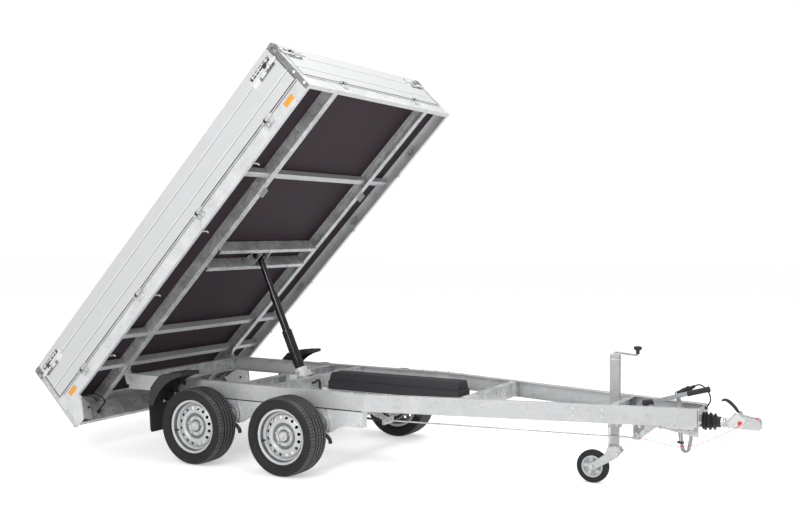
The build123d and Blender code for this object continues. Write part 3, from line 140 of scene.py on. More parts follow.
# Sizes and colours that a user would change
class TrailerFinish(bpy.types.PropertyGroup):
    """Colours of the trailer's finishes."""

    zinc: FloatVectorProperty(
        name="Galvanised steel", description="Base colour of the dipped frame", subtype="COLOR",
        default=(0.52, 0.525, 0.53), min=0, max=1,
    )
    board: FloatVectorProperty(
        name="Drop boards", description="Colour of the satin anodised boards", subtype="COLOR",
        default=(0.68, 0.685, 0.69), min=0, max=1,
    )
    floor: FloatVectorProperty(
        name="Bed floor", description="Colour of the film-faced plywood", subtype="COLOR",
        default=(0.034, 0.023, 0.029), min=0, max=1,
    )
    plastic: FloatVectorProperty(
        name="Black plastic", description="Colour of the moulded box, mudguards and plug",
        subtype="COLOR", default=(0.010, 0.010, 0.011), min=0, max=1,
    )
    rubber: FloatVectorProperty(
        name="Tyre rubber", description="Colour of the tyres' rubber", subtype="COLOR",
        default=(0.016, 0.016, 0.017), min=0, max=1,
    )
    rim: FloatVectorProperty(
        name="Rim paint", description="Colour of the road wheels' silver paint", subtype="COLOR",
        default=(0.43, 0.435, 0.44), min=0, max=1,
    )


class TrailerSizes(bpy.types.PropertyGroup):
    """Sizes of the dressing."""

    tread_depth: FloatProperty(
        name="Tread depth", description="Depth of the tyres' main grooves", default=0.007,
        min=0.001, max=0.009, unit="LENGTH",
    )
    tread_pitches: IntProperty(
        name="Tread pitches", description="Tread blocks round each tyre", default=72, min=24, max=96,
    )
    bolt_across: FloatProperty(
        name="Bolt head", description="Width across the flats of the frame's bolt heads",
        default=0.017, min=0.008, max=0.03, unit="LENGTH",
    )


# Node groups shared by several finishes
def new_group(name, inputs, outputs):
    """A shader node group with its named sockets, and its input and output nodes."""
    group = bpy.data.node_groups.new(name, "ShaderNodeTree")
    for socket_name, kind, value in inputs:
        socket = group.interface.new_socket(name=socket_name, in_out="INPUT", socket_type=kind)
        if value is not None:
            socket.default_value = value
    for socket_name, kind in outputs:
        group.interface.new_socket(name=socket_name, in_out="OUTPUT", socket_type=kind)
    return group, group.nodes.new("NodeGroupInput"), group.nodes.new("NodeGroupOutput")


def noise(tree, vector, scale, detail=4.0, roughness=0.55, distortion=0.0):
    """Noise texture fed by a vector socket."""
    node = tree.nodes.new("ShaderNodeTexNoise")
    node.inputs["Scale"].default_value = scale
    node.inputs["Detail"].default_value = detail
    node.inputs["Roughness"].default_value = roughness
    node.inputs["Distortion"].default_value = distortion
    tree.links.new(vector, node.inputs["Vector"])
    return node


def remap(tree, value, low, high, to_low=0.0, to_high=1.0):
    """Map Range node fed by a value socket."""
    node = tree.nodes.new("ShaderNodeMapRange")
    for name, number in (("From Min", low), ("From Max", high), ("To Min", to_low), ("To Max", to_high)):
        node.inputs[name].default_value = number
    tree.links.new(value, node.inputs["Value"])
    return node.outputs["Result"]


def mix_colours(tree, factor, first, second, blend="MIX"):
    """Colour mix; each of factor, first and second is a socket or a plain value."""
    node = tree.nodes.new("ShaderNodeMix")
    node.data_type = "RGBA"
    node.blend_type = blend
    for index, value in ((0, factor), (6, first), (7, second)):
        if isinstance(value, bpy.types.NodeSocket):
            tree.links.new(value, node.inputs[index])
        elif index == 0:
            node.inputs[index].default_value = value
        else:
            node.inputs[index].default_value = (*value[:3], 1)
    return node.outputs[2]


def arithmetic(tree, operation, first, second):
    """Math node; each of first and second is a socket or a number."""
    node = tree.nodes.new("ShaderNodeMath")
    node.operation = operation
    for index, value in ((0, first), (1, second)):
        if isinstance(value, bpy.types.NodeSocket):
            tree.links.new(value, node.inputs[index])
        else:
            node.inputs[index].default_value = value
    return node.outputs[0]


def spangle_group():
    """Hot-dip zinc: crystals, cloudy blooms and run marks over a base colour."""
    group, inputs, outputs = new_group(
        "Zinc spangle",
        [
            ("Vector", "NodeSocketVector", None),
            ("Base", "NodeSocketColor", (0.6, 0.6, 0.6, 1)),
            ("Bloom", "NodeSocketColor", (0.8, 0.8, 0.8, 1)),
            ("Shade", "NodeSocketColor", (0.3, 0.3, 0.3, 1)),
            ("Crystal", "NodeSocketFloat", 0.3),
        ],
        [("Color", "NodeSocketColor"), ("Roughness", "NodeSocketFloat"), ("Height", "NodeSocketFloat")],
    )
    vector = inputs.outputs["Vector"]
    cloud = noise(group, vector, 9.0, 6.0, 0.62, 0.6).outputs["Fac"]
    streak = noise(group, vector, 34.0, 3.0, 0.5, 1.2).outputs["Fac"]
    crystal = group.nodes.new("ShaderNodeTexVoronoi")
    crystal.inputs["Scale"].default_value = 140.0
    group.links.new(vector, crystal.inputs["Vector"])
    sparkle = group.nodes.new("ShaderNodeSeparateColor")
    group.links.new(crystal.outputs["Color"], sparkle.inputs["Color"])
    bloom = mix_colours(
        group, remap(group, cloud, 0.42, 0.66), inputs.outputs["Base"], inputs.outputs["Bloom"]
    )
    shaded = mix_colours(
        group, remap(group, streak, 0.52, 0.72, 0.0, 0.55), bloom, inputs.outputs["Shade"]
    )
    flecks = remap(group, sparkle.outputs["Red"], 0.0, 1.0, 0.72, 1.12)
    flecked = mix_colours(group, inputs.outputs["Crystal"], shaded, flecks, "MULTIPLY")
    group.links.new(flecked, outputs.inputs["Color"])
    rough = arithmetic(
        group, "ADD", remap(group, cloud, 0.35, 0.7, 0.30, 0.52),
        remap(group, sparkle.outputs["Green"], 0.0, 1.0, -0.06, 0.06),
    )
    group.links.new(rough, outputs.inputs["Roughness"])
    group.links.new(
        arithmetic(group, "ADD", arithmetic(group, "MULTIPLY", streak, 0.7), sparkle.outputs["Blue"]),
        outputs.inputs["Height"],
    )
    return group


def grain_group():
    """Fine grain for moulded plastic, rubber and paint: a height, and a soft mottle."""
    group, inputs, outputs = new_group(
        "Fine grain",
        [
            ("Vector", "NodeSocketVector", None),
            ("Colour", "NodeSocketColor", (0.1, 0.1, 0.1, 1)),
            ("Tint", "NodeSocketColor", (0.2, 0.2, 0.2, 1)),
            ("Amount", "NodeSocketFloat", 0.3),
            ("Low roughness", "NodeSocketFloat", 0.4),
            ("High roughness", "NodeSocketFloat", 0.6),
            ("Grain", "NodeSocketFloat", 900.0),
        ],
        [("Color", "NodeSocketColor"), ("Roughness", "NodeSocketFloat"), ("Height", "NodeSocketFloat")],
    )
    vector = inputs.outputs["Vector"]
    mottle = noise(group, vector, 14.0, 5.0, 0.6).outputs["Fac"]
    fine = noise(group, vector, 900.0, 2.0, 0.6)
    group.links.new(inputs.outputs["Grain"], fine.inputs["Scale"])
    factor = arithmetic(group, "MULTIPLY", remap(group, mottle, 0.4, 0.72), inputs.outputs["Amount"])
    colour = mix_colours(group, factor, inputs.outputs["Colour"], inputs.outputs["Tint"])
    group.links.new(colour, outputs.inputs["Color"])
    low, high = inputs.outputs["Low roughness"], inputs.outputs["High roughness"]
    span = arithmetic(group, "SUBTRACT", high, low)
    rough = arithmetic(
        group, "ADD", low, arithmetic(group, "MULTIPLY", remap(group, mottle, 0.3, 0.7), span)
    )
    group.links.new(rough, outputs.inputs["Roughness"])
    group.links.new(fine.outputs["Fac"], outputs.inputs["Height"])
    return group


def shader(name, metallic=0.0, coat=0.0, specular=0.5):
    """A material with its Principled BSDF, its tree and an object coordinate socket."""
    material = bpy.data.materials.new(name)
    material.use_nodes = True
    tree = material.node_tree
    principled = tree.nodes["Principled BSDF"]
    principled.inputs["Metallic"].default_value = metallic
    principled.inputs["Coat Weight"].default_value = coat
    principled.inputs["Specular IOR Level"].default_value = specular
    coordinates = tree.nodes.new("ShaderNodeTexCoord").outputs["Object"]
    return material, tree, principled, coordinates


def place_group(tree, principled, vector, name, values, bump_strength, bump_distance):
    """Put a finish's group in the tree, and lead its colour, roughness and height to the shader."""
    group = tree.nodes.new("ShaderNodeGroup")
    group.node_tree = bpy.data.node_groups[name]
    tree.links.new(vector, group.inputs["Vector"])
    for socket, value in values.items():
        group.inputs[socket].default_value = value
    tree.links.new(group.outputs["Color"], principled.inputs["Base Color"])
    tree.links.new(group.outputs["Roughness"], principled.inputs["Roughness"])
    bump = tree.nodes.new("ShaderNodeBump")
    bump.inputs["Strength"].default_value = bump_strength
    bump.inputs["Distance"].default_value = bump_distance
    tree.links.new(group.outputs["Height"], bump.inputs["Height"])
    tree.links.new(bump.outputs["Normal"], principled.inputs["Normal"])


def zinc_finish(name, base, bloom, shade, crystal, metallic, stretch=(1, 1, 1)):
    """Galvanised or zinc-plated steel."""
    material, tree, principled, coordinates = shader(name, metallic=metallic)
    mapping = tree.nodes.new("ShaderNodeMapping")
    mapping.inputs["Scale"].default_value = stretch
    tree.links.new(coordinates, mapping.inputs["Vector"])
    values = {
        "Base": (*base, 1), "Bloom": (*bloom, 1), "Shade": (*shade, 1), "Crystal": crystal,
    }
    place_group(tree, principled, mapping.outputs["Vector"], "Zinc spangle", values, 0.15, 0.0006)
    return material


def grained_finish(
    name, colour, tint, amount=0.3, low=0.4, high=0.6, grain=900.0, bump=0.2, distance=0.0003,
    metallic=0.0, coat=0.0, specular=0.5,
):
    """Moulded plastic, rubber or paint."""
    material, tree, principled, coordinates = shader(name, metallic, coat, specular)
    values = {
        "Colour": (*colour, 1), "Tint": (*tint, 1), "Amount": amount, "Low roughness": low,
        "High roughness": high, "Grain": grain,
    }
    place_group(tree, principled, coordinates, "Fine grain", values, bump, distance)
    return material


def scaled(colour, factor):
    """A colour made lighter or darker, kept within 0 to 1."""
    return tuple(min(1.0, max(0.0, channel * factor)) for channel in colour)


# Factors on the panel's zinc for base, bloom and shade, then crystal, metallic and stretch
ZINC_FINISHES = {
    "galvanised": (1.12, 1.65, 0.46, 0.32, 0.45, (1, 1, 1)),
    "bright_zinc": (1.2, 1.4, 0.8, 0.1, 0.75, (1, 1, 1)),
    "rail_zinc": (1.16, 1.28, 0.96, 0.12, 0.35, (0.55, 0.55, 0.9)),
    "mast_zinc": (0.92, 1.02, 0.8, 0.05, 0.35, (1, 1, 1)),
    # Paler copy of the zinc: painted light on faces that the lamps catch brightly
    "pale_zinc": (1.42, 1.6, 1.2, 0.12, 0.25, (1, 1, 1)),
    # Duller copy of the zinc: the colour of dull parts, and painted shade on the front posts and along the
    # profiles
    "dull_zinc": (0.62, 0.8, 0.36, 0.3, 0.6, (1, 1, 1)),
}
# A colour of the panel, factors on it for colour and tint, then grained_finish's own values
PANEL_FINISHES = {
    "anodised": (
        "board", 1.0, 1.05, (0.5, 0.38, 0.5, 1100.0, 0.05, 0.0001), {"metallic": 0.15, "specular": 0.4},
    ),
    "groove_shade": ("board", 0.4, 0.5, (0.5, 0.5, 0.6, 1100.0, 0.05, 0.0001), {"specular": 0.2}),
    "gap_shade": ("board", 0.1, 0.16, (0.5, 0.7, 0.8, 1100.0, 0.05, 0.0001), {"specular": 0.1}),
    # Lighter copy of the board colour: the colour of bright hardware, and painted highlight on the boards' edges
    # and the rear corner plates
    "bright_edge": ("board", 1.22, 1.28, (0.5, 0.3, 0.4, 1100.0, 0.05, 0.0001), {"metallic": 0.1}),
    "black_plastic": ("plastic", 0.7, 1.3, (0.3, 0.36, 0.5), {"specular": 0.18}),
    "tyre_rubber": ("rubber", 1.0, 2.2, (0.5, 0.55, 0.75, 1400.0), {"specular": 0.35}),
    "tread_rubber": ("rubber", 4.4, 7.0, (0.7, 0.5, 0.65, 1400.0), {}),
    # Darker rubber for the tread's grooves and sipes: painted shade
    "groove_rubber": ("rubber", 0.15, 0.3, (0.5, 0.85, 0.95, 1400.0), {"specular": 0.03}),
    "soft_rubber": ("rubber", 0.9, 1.6, (0.4, 0.35, 0.5, 1200.0), {}),
    "rim_silver": (
        "rim", 1.0, 1.1, (0.4, 0.26, 0.36, 1600.0, 0.06, 0.0001), {"metallic": 0.75, "coat": 0.3},
    ),
    "rim_shade": (
        "rim", 0.5, 0.62, (0.4, 0.3, 0.42, 1600.0, 0.06, 0.0001), {"metallic": 0.75, "coat": 0.2},
    ),
    "film_plywood": ("floor", 1.0, 1.7, (0.6, 0.5, 0.65, 260.0, 0.2, 0.0004), {"specular": 0.18}),
}
# Colour and tint, then grained_finish's own values
PLAIN_FINISHES = {
    "lamp_red": (
        (0.45, 0.008, 0.008), (0.6, 0.02, 0.02), (0.3, 0.08, 0.14, 500.0, 0.05, 0.0002), {"coat": 0.6},
    ),
    "amber": (
        (1.0, 0.6, 0.0), (1.0, 0.68, 0.0), (0.4, 0.5, 0.6, 420.0, 0.3, 0.0004), {"specular": 0.0},
    ),
    "clear_lens": (
        (0.82, 0.84, 0.86), (0.95, 0.95, 0.96), (0.4, 0.08, 0.14, 500.0, 0.05, 0.0002), {"coat": 0.6},
    ),
    "reflector_rim": (
        (0.62, 0.66, 0.78), (0.72, 0.76, 0.86), (0.3, 0.3, 0.4, 700.0, 0.05, 0.0002), {},
    ),
    "grey_paint": (
        (0.33, 0.34, 0.35), (0.42, 0.43, 0.44), (0.4, 0.35, 0.5, 800.0, 0.1), {"metallic": 0.3},
    ),
    "black_enamel": (
        (0.012, 0.012, 0.013), (0.024, 0.024, 0.026), (0.3, 0.14, 0.22, 300.0, 0.04, 0.0002),
        {"coat": 1.0},
    ),
    "ground_rod": (
        (0.05, 0.05, 0.055), (0.09, 0.09, 0.095), (0.3, 0.12, 0.2, 500.0, 0.03, 0.0001),
        {"metallic": 0.9},
    ),
    "red_sheath": (
        (0.75, 0.03, 0.05), (0.85, 0.08, 0.1), (0.3, 0.25, 0.35, 1500.0, 0.05, 0.0001), {},
    ),
    "black_sheath": (
        (0.02, 0.02, 0.02), (0.04, 0.04, 0.04), (0.3, 0.35, 0.5, 1500.0, 0.1, 0.0002), {},
    ),
}
SLOT_FINISHES = {
    "zinc": "galvanised", "bright_zinc": "bright_zinc", "anodised": "anodised",
    "black_plastic": "black_plastic", "black_paint": "black_enamel", "grey_paint": "grey_paint",
    "rubber": "soft_rubber", "tyre": "tyre_rubber", "rim_silver": "rim_silver",
    "jockey_rim": "grey_paint", "chrome_rod": "ground_rod", "ram_paint": "black_enamel",
    "floor_ply": "film_plywood", "lamp_red": "lamp_red", "amber": "amber",
    "red_cord": "red_sheath", "black_cord": "black_sheath",
}
# Nodes whose zinc is paler or duller than that of the rest of the frame; the paler copy on the side and end
# profiles and the axle brackets is painted light
NODE_FINISHES = {
    "side_profiles": "pale_zinc", "end_profiles": "pale_zinc", "axle_brackets": "pale_zinc",
    "corner_posts": "rail_zinc", "bed_cross_members": "rail_zinc", "chassis_rails": "rail_zinc",
    "jockey_fork": "rail_zinc", "coupling_head": "rail_zinc", "jockey_mast": "mast_zinc",
    "jockey_leg": "mast_zinc",
}


class TRAILER_OT_finishes(bpy.types.Operator):
    """Make every finish and put it on the CAD nodes"""

    bl_idname = "trailer.finishes"
    bl_label = "Finishes"

    def execute(self, context):
        finish = context.scene.trailer_finish
        spangle_group()
        grain_group()
        finishes = {
            # Near-black zinc: painted shade in hollows, slots and holes, and along the seam under the rails
            "recess_zinc": zinc_finish(
                "recess_zinc", (0.05, 0.05, 0.055), (0.10, 0.10, 0.11), (0.02, 0.02, 0.02), 0.2, 0.5
            ),
        }
        for name, (*factors, crystal, metallic, stretch) in ZINC_FINISHES.items():
            colours = [scaled(finish.zinc, factor) for factor in factors]
            finishes[name] = zinc_finish(name, *colours, crystal, metallic, stretch)
        for name, (source, factor, tint, values, options) in PANEL_FINISHES.items():
            colour = getattr(finish, source)
            finishes[name] = grained_finish(
                name, scaled(colour, factor), scaled(colour, tint), *values, **options
            )
        for name, (colour, tint, values, options) in PLAIN_FINISHES.items():
            finishes[name] = grained_finish(name, colour, tint, *values, **options)
        for row in frame["record"]["subparts"]:
            node = frame["nodes"][row["node"]]
            finish_name = NODE_FINISHES.get(row["node"], SLOT_FINISHES[row["material_slot"]])
            node.data.materials.clear()
            node.data.materials.append(finishes[finish_name])
        return {"FINISHED"}


def turns(count):
    """Angles of so many equal steps round a circle."""
    return [2 * math.pi * step / count for step in range(count)]


def bands(rings, count, capped=True):
    """Faces between rings of points that follow each other, with or without the two ends."""
    faces = [
        (row + step, row + (step + 1) % count, row + count + (step + 1) % count, row + count + step)
        for row in range(0, (rings - 1) * count, count)
        for step in range(count)
    ]
    if capped:
        faces += [tuple(reversed(range(count))), tuple(range((rings - 1) * count, rings * count))]
    return faces


def add_object(name, data):
    """A new object in the scene."""
    made = bpy.data.objects.new(name, data)
    bpy.context.scene.collection.objects.link(made)
    return made


def bevel_edges(made, width, angle):
    """Round the edges that turn by more than an angle in degrees; width in millimetres."""
    edge = made.modifiers.new("edge", "BEVEL")
    edge.width = width / 1000
    edge.segments = 2
    edge.limit_method = "ANGLE"
    edge.angle_limit = math.radians(angle)
    edge.harden_normals = True


def subdivide(made):
    """Round an object off by one subdivision."""
    subdivision = made.modifiers.new("round", "SUBSURF")
    subdivision.levels = subdivision.render_levels = 1


# Making pieces: shapes gathered in millimetres in one mesh, then set down in the trailer
class Shapes:
    """Shapes gathered in one mesh; each is drawn in millimetres in the frame given to it."""

    def __init__(self):
        self.mesh = bmesh.new()

    def faces(self, points, faces, place, finish=0):
        """Add points and the faces between them; finish is one number, or one for each face."""
        vertices = [self.mesh.verts.new(place @ Vector(point)) for point in points]
        for number, corners in enumerate(faces):
            face = self.mesh.faces.new([vertices[index] for index in corners])
            face.material_index = finish if isinstance(finish, int) else finish[number]
            face.smooth = True

    def lathe(self, profile, place, segments=48, finish=0, closed=True):
        """Turn a profile of (radius, z) about Z; a closed profile makes a ring."""
        count = len(profile)
        points = [
            (radius * math.cos(turn), radius * math.sin(turn), z)
            for turn in turns(segments)
            for radius, z in profile
        ]
        faces = []
        for step in range(segments):
            here, after = step * count, (step + 1) % segments * count
            for index in range(count if closed else count - 1):
                following = (index + 1) % count
                faces.append((here + index, after + index, after + following, here + following))
        self.faces(points, faces, place, finish)

    def turned(self, profile, place, segments=32, finish=0):
        """Turn a profile of (radius, z) that is closed by discs at both ends."""
        points = [
            (radius * math.cos(turn), radius * math.sin(turn), z)
            for radius, z in profile
            for turn in turns(segments)
        ]
        self.faces(points, bands(len(profile), segments), place, finish)

    def prism(self, outline, low, high, place, finish=0):
        """Push an outline in X and Y from z low to z high."""
        points = [(x, y, z) for z in (low, high) for x, y in outline]
        self.faces(points, bands(2, len(outline)), place, finish)

    def collar(self, outer, inner, low, high, place, finish=0):
        """Push the space between two outlines, of as many points, from z low to z high."""
        count = len(outer)
        points = [(x, y, z) for z in (low, high) for ring in (outer, inner) for x, y in ring]
        faces = []
        for index in range(count):
            after = (index + 1) % count
            for first, second in ((0, 1), (1, 3), (3, 2), (2, 0)):
                faces.append((
                    first * count + index, first * count + after,
                    second * count + after, second * count + index,
                ))
        self.faces(points, faces, place, finish)

    def slab(self, low, high, place, finish=0):
        """A box between two corners."""
        (x0, y0, z0), (x1, y1, z1) = low, high
        self.prism([(x0, y0), (x1, y0), (x1, y1), (x0, y1)], z0, z1, place, finish)

    def rod(self, start, end, radius, place, sides=16, finish=0):
        """A round bar from start to end."""
        run = Vector(end) - Vector(start)
        along = Matrix.Translation(Vector(start)) @ aim(run)
        self.turned([(radius, 0), (radius, run.length)], place @ along, sides, finish)

    def tube(self, points, radius, place, sides=10, finish=0):
        """A round tube through points, its ends closed."""
        path = [Vector(point) for point in points]
        rings = []
        side = None
        for index, point in enumerate(path):
            run = path[min(index + 1, len(path) - 1)] - path[max(index - 1, 0)]
            run.normalize()
            if side is None:
                side = run.orthogonal().normalized()
            side = (side - run * side.dot(run)).normalized()
            up = run.cross(side)
            rings += [
                point + radius * (math.cos(turn) * side + math.sin(turn) * up) for turn in turns(sides)
            ]
        self.faces(rings, bands(len(path), sides), place, finish)

    def bolt(self, at, facing, place, across=17.0, head=7.0, finish=0, thread=0.0):
        """Hexagon bolt head on its washer, and a length of thread when it is a nut."""
        stand = shift(place, *at) @ aim(facing)
        radius = across / math.sqrt(3)
        self.turned([(radius * 1.16, 0), (radius * 1.16, 1.6)], stand, 20, finish)
        self.turned([(radius, 1.6), (radius, head), (radius * 0.84, head + 1.2)], stand, 6, finish)
        if thread:
            self.turned([(across * 0.28, head), (across * 0.28, head + thread)], stand, 12, finish)

    def piece(self, name, body, finishes, bevel=0.6, angle=32.0, replaces=()):
        """Close the mesh as one object that rides on a body."""
        bmesh.ops.recalc_face_normals(self.mesh, faces=self.mesh.faces)
        mesh = bpy.data.meshes.new(name)
        self.mesh.to_mesh(mesh)
        self.mesh.free()
        # A finish that has the name of one of the frame's slots is the frame's own material here
        for finish in finishes:
            mesh.materials.append(bpy.data.materials[finish])
        mesh.set_sharp_from_angle(angle=math.radians(angle))
        made = add_object(name, mesh)
        if bevel:
            bevel_edges(made, bevel, angle)
        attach(made, body)
        if replaces:
            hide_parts(*replaces)
        return made


# Road wheels
def tyre_surface(z):
    """Outer radius of the tyre at z from its middle, before the grooves."""
    flat, edge, crown, edge_radius = 58.0, 98.0, 1.2, 223.0
    if abs(z) <= flat:
        return wheel_radius - crown * (z / flat) ** 2
    share = min(1.0, (abs(z) - flat) / (edge - flat))
    return edge_radius + (wheel_radius - crown - edge_radius) * math.sqrt(max(0.0, 1 - share**2.6))


def tread_columns(depth):
    """Columns across the tyre: z, groove depth, zigzag reach and how much the sipes cut it."""
    columns = []
    for side in (-1, 1):
        columns += [(side * z, 0.0, 0.0, 0.0) for z in (97.9, 96.5, 93.0)]
        columns += [
            (side * 89.0, 0.0, 0.0, 0.0), (side * 86.5, 0.0, 0.0, 0.75), (side * 78.0, 0.0, 0.0, 0.9),
            (side * 68.0, 0.0, 0.0, 0.9), (side * 57.0, 0.0, 0.0, 0.6), (side * 55.0, 0.0, 0.0, 0.0),
        ]
    grooves = ((-45.0, 4.5, 1.2), (-15.5, 4.0, 2.6), (15.5, 4.0, 2.6), (45.0, 4.5, 1.2))
    for centre, half, zigzag in grooves:
        columns += [
            (centre - half, 0.0, zigzag, 0.0), (centre - half + 1.2, depth, zigzag, 0.0),
            (centre + half - 1.2, depth, zigzag, 0.0), (centre + half, 0.0, zigzag, 0.0),
        ]
    for centre in (-30.0, 0.0, 30.0):
        columns += [(centre - 5, 0.0, 1.6, 0.35), (centre + 5, 0.0, 1.6, 0.35)]
    return sorted(columns)


# Turns within one tread pitch: share of the pitch, zigzag from -1 to 1, and depth of the sipe
PITCH_STEPS = (
    (0.0, -1.0, 0.0), (0.04, -1.0, 1.0), (0.13, -0.9, 1.0), (0.17, -0.8, 0.0), (0.5, 1.0, 0.0),
    (0.62, 1.0, 0.0),
)
SIDEWALL = (
    (222.0, 98.0), (219.5, 98.0), (218.5, 97.2), (214.0, 97.2), (213.0, 98.0), (206.0, 96.6),
    (198.0, 92.0), (191.0, 85.0), (187.0, 79.5), (185.5, 79.5), (184.0, 74.0), (182.5, 68.5),
    (170.5, 63.5), (166.0, 58.0),
)


def draw_tyre(shapes, place, depth, pitches):
    """One tyre: grooved tread, sipes on the shoulders and stepped sidewalls."""
    sipe_depth = 5.5
    columns = tread_columns(depth)
    lower = [(radius, -z) for radius, z in reversed(SIDEWALL)]
    points = []
    stations = [
        (2 * math.pi * (pitch + share) / pitches, swing, cut)
        for pitch in range(pitches)
        for share, swing, cut in PITCH_STEPS
    ]
    for turn, swing, cut in stations:
        ring = list(lower)
        for z, groove, zigzag, sipe in columns:
            across = z + zigzag * swing
            ring.append((tyre_surface(across) - groove - sipe_depth * sipe * cut, across))
        ring += SIDEWALL
        points += [(r * math.cos(turn), r * math.sin(turn), z) for r, z in ring]
    count = len(columns) + 2 * len(SIDEWALL)
    faces, finishes = [], []
    for row, (_, _, cut) in enumerate(stations):
        following = (row + 1) % len(stations)
        here, after = row * count, following * count
        for i in range(count - 1):
            faces.append((here + i, after + i, after + i + 1, here + i + 1))
            near, far = i - len(SIDEWALL), i + 1 - len(SIDEWALL)
            if near < 0 or far >= len(columns):
                finishes.append(0)
            # Groove and sipe faces take finish 2, a darker rubber that paints the shade in them
            elif columns[near][1] > 0 or columns[far][1] > 0:
                finishes.append(2)
            elif cut and stations[following][2] and min(columns[near][3], columns[far][3]) > 0:
                finishes.append(2)
            else:
                finishes.append(1 if abs(columns[near][0]) < 90 and abs(columns[far][0]) < 90 else 0)
        faces.append((here + count - 1, after + count - 1, after, here))
        finishes.append(0)
    shapes.faces(points, faces, place, finishes)


class TRAILER_OT_tyres(bpy.types.Operator):
    """Build the four road tyres with their grooves, sipes and sidewall steps"""

    bl_idname = "trailer.tyres"
    bl_label = "Road tyres"

    def execute(self, context):
        sizes = context.scene.trailer_sizes
        for end in ("front", "rear"):
            for side in ("left", "right"):
                shapes = Shapes()
                draw_tyre(shapes, wheel_mm(end, side), sizes.tread_depth * 1000, sizes.tread_pitches)
                shapes.piece(
                    f"tread_{end}_{side}", f"wheel_{end}_{side}",
                    ["tyre_rubber", "tread_rubber", "groove_rubber"],
                    bevel=0, angle=28, replaces=[f"tyre_{end}_{side}"],
                )
        return {"FINISHED"}


RIM_PROFILE = (
    (183.0, 71.0), (184.0, 69.5), (183.6, 67.0), (181.5, 66.0), (173.5, 65.0), (169.5, 62.5),
    (167.0, 59.0), (166.0, 55.0), (165.6, 41.0), (163.5, 38.5), (153.0, 29.0), (151.0, 26.0),
    (151.0, -20.0), (165.0, -32.0), (166.0, -58.0), (170.0, -63.0), (181.5, -66.0), (183.6, -68.0),
    (183.0, -71.0), (180.0, -71.0), (166.0, -67.0), (161.5, -58.0), (161.0, -34.0), (146.5, -21.0),
    (146.5, 27.0), (149.0, 32.0), (159.5, 41.5), (161.5, 44.5), (161.8, 56.0), (164.0, 61.5),
    (168.0, 66.0), (173.0, 68.8), (180.0, 70.2),
)


def disc_height(radius):
    """Height of the wheel disc's outer face at a radius."""
    points = (
        (30.0, 27.0), (34.0, 29.0), (70.0, 29.0), (76.0, 27.0), (82.0, 27.5), (88.0, 33.0),
        (94.0, 39.0), (101.0, 43.0), (108.0, 43.5), (113.0, 41.0), (118.0, 38.5), (132.0, 35.0),
        (138.0, 32.0), (143.0, 26.0), (147.5, 19.0),
    )
    for (r0, z0), (r1, z1) in zip(points, points[1:]):
        if radius <= r1:
            return z0 + (z1 - z0) * (radius - r0) / (r1 - r0)
    return points[-1][1]


def draw_disc(shapes, place):
    """The wheel disc: pressed rings, some of them in painted shade, and a belt of round vents between two of them
    whose lips are painted black as shade.
    """
    sectors, ring_steps = 16, 6
    inner, outer, vent_middle, vent_radius = 111.0, 138.5, 124.5, 11.0
    segments = sectors * ring_steps
    zones = (
        # radii of a zone's rings, and whether it takes the painted shade of rim_shade
        ((32.0, 34.0, 46.0), 1), ((46.0, 52.0, 66.0), 0), ((66.0, 70.0, 76.0, 82.0, 88.0), 1),
        ((88.0, 94.0, 101.0, 108.0, inner), 0), ((outer, 143.0), 0), ((143.0, 147.5), 1),
    )
    for radii, painted_shade in zones:
        shapes.lathe([(r, disc_height(r)) for r in radii], place, segments, painted_shade, closed=False)
    for sector in range(sectors):
        middle = 2 * math.pi * (sector + 0.5) / sectors
        start, end = 2 * math.pi * sector / sectors, 2 * math.pi * (sector + 1) / sectors
        edge = [start + (end - start) * step / ring_steps for step in range(ring_steps + 1)]
        cell = [(inner, turn) for turn in edge]
        cell += [(inner + (outer - inner) * share, end) for share in (0.33, 0.67)]
        cell += [(outer, turn) for turn in reversed(edge)]
        cell += [(inner + (outer - inner) * share, start) for share in (0.67, 0.33)]
        hole = []
        for radius, turn in cell:
            x = (turn - middle) * vent_middle
            y = radius - vent_middle
            heading = math.atan2(y, x)
            hole_radius = vent_middle + vent_radius * math.sin(heading)
            hole.append((hole_radius, middle + vent_radius * math.cos(heading) / hole_radius))
        # Lip walls of the vents in black enamel: painted shade inside the holes
        lip = [(radius, turn, -3.5) for radius, turn in hole]
        rings = [[(r, t, 0.0) for r, t in cell], [(r, t, 0.0) for r, t in hole], lip]
        points = [
            (r * math.cos(t), r * math.sin(t), disc_height(r) + drop)
            for ring in rings
            for r, t, drop in ring
        ]
        count = len(cell)
        shapes.faces(points, bands(3, count, capped=False), place, [0] * count + [2] * count)


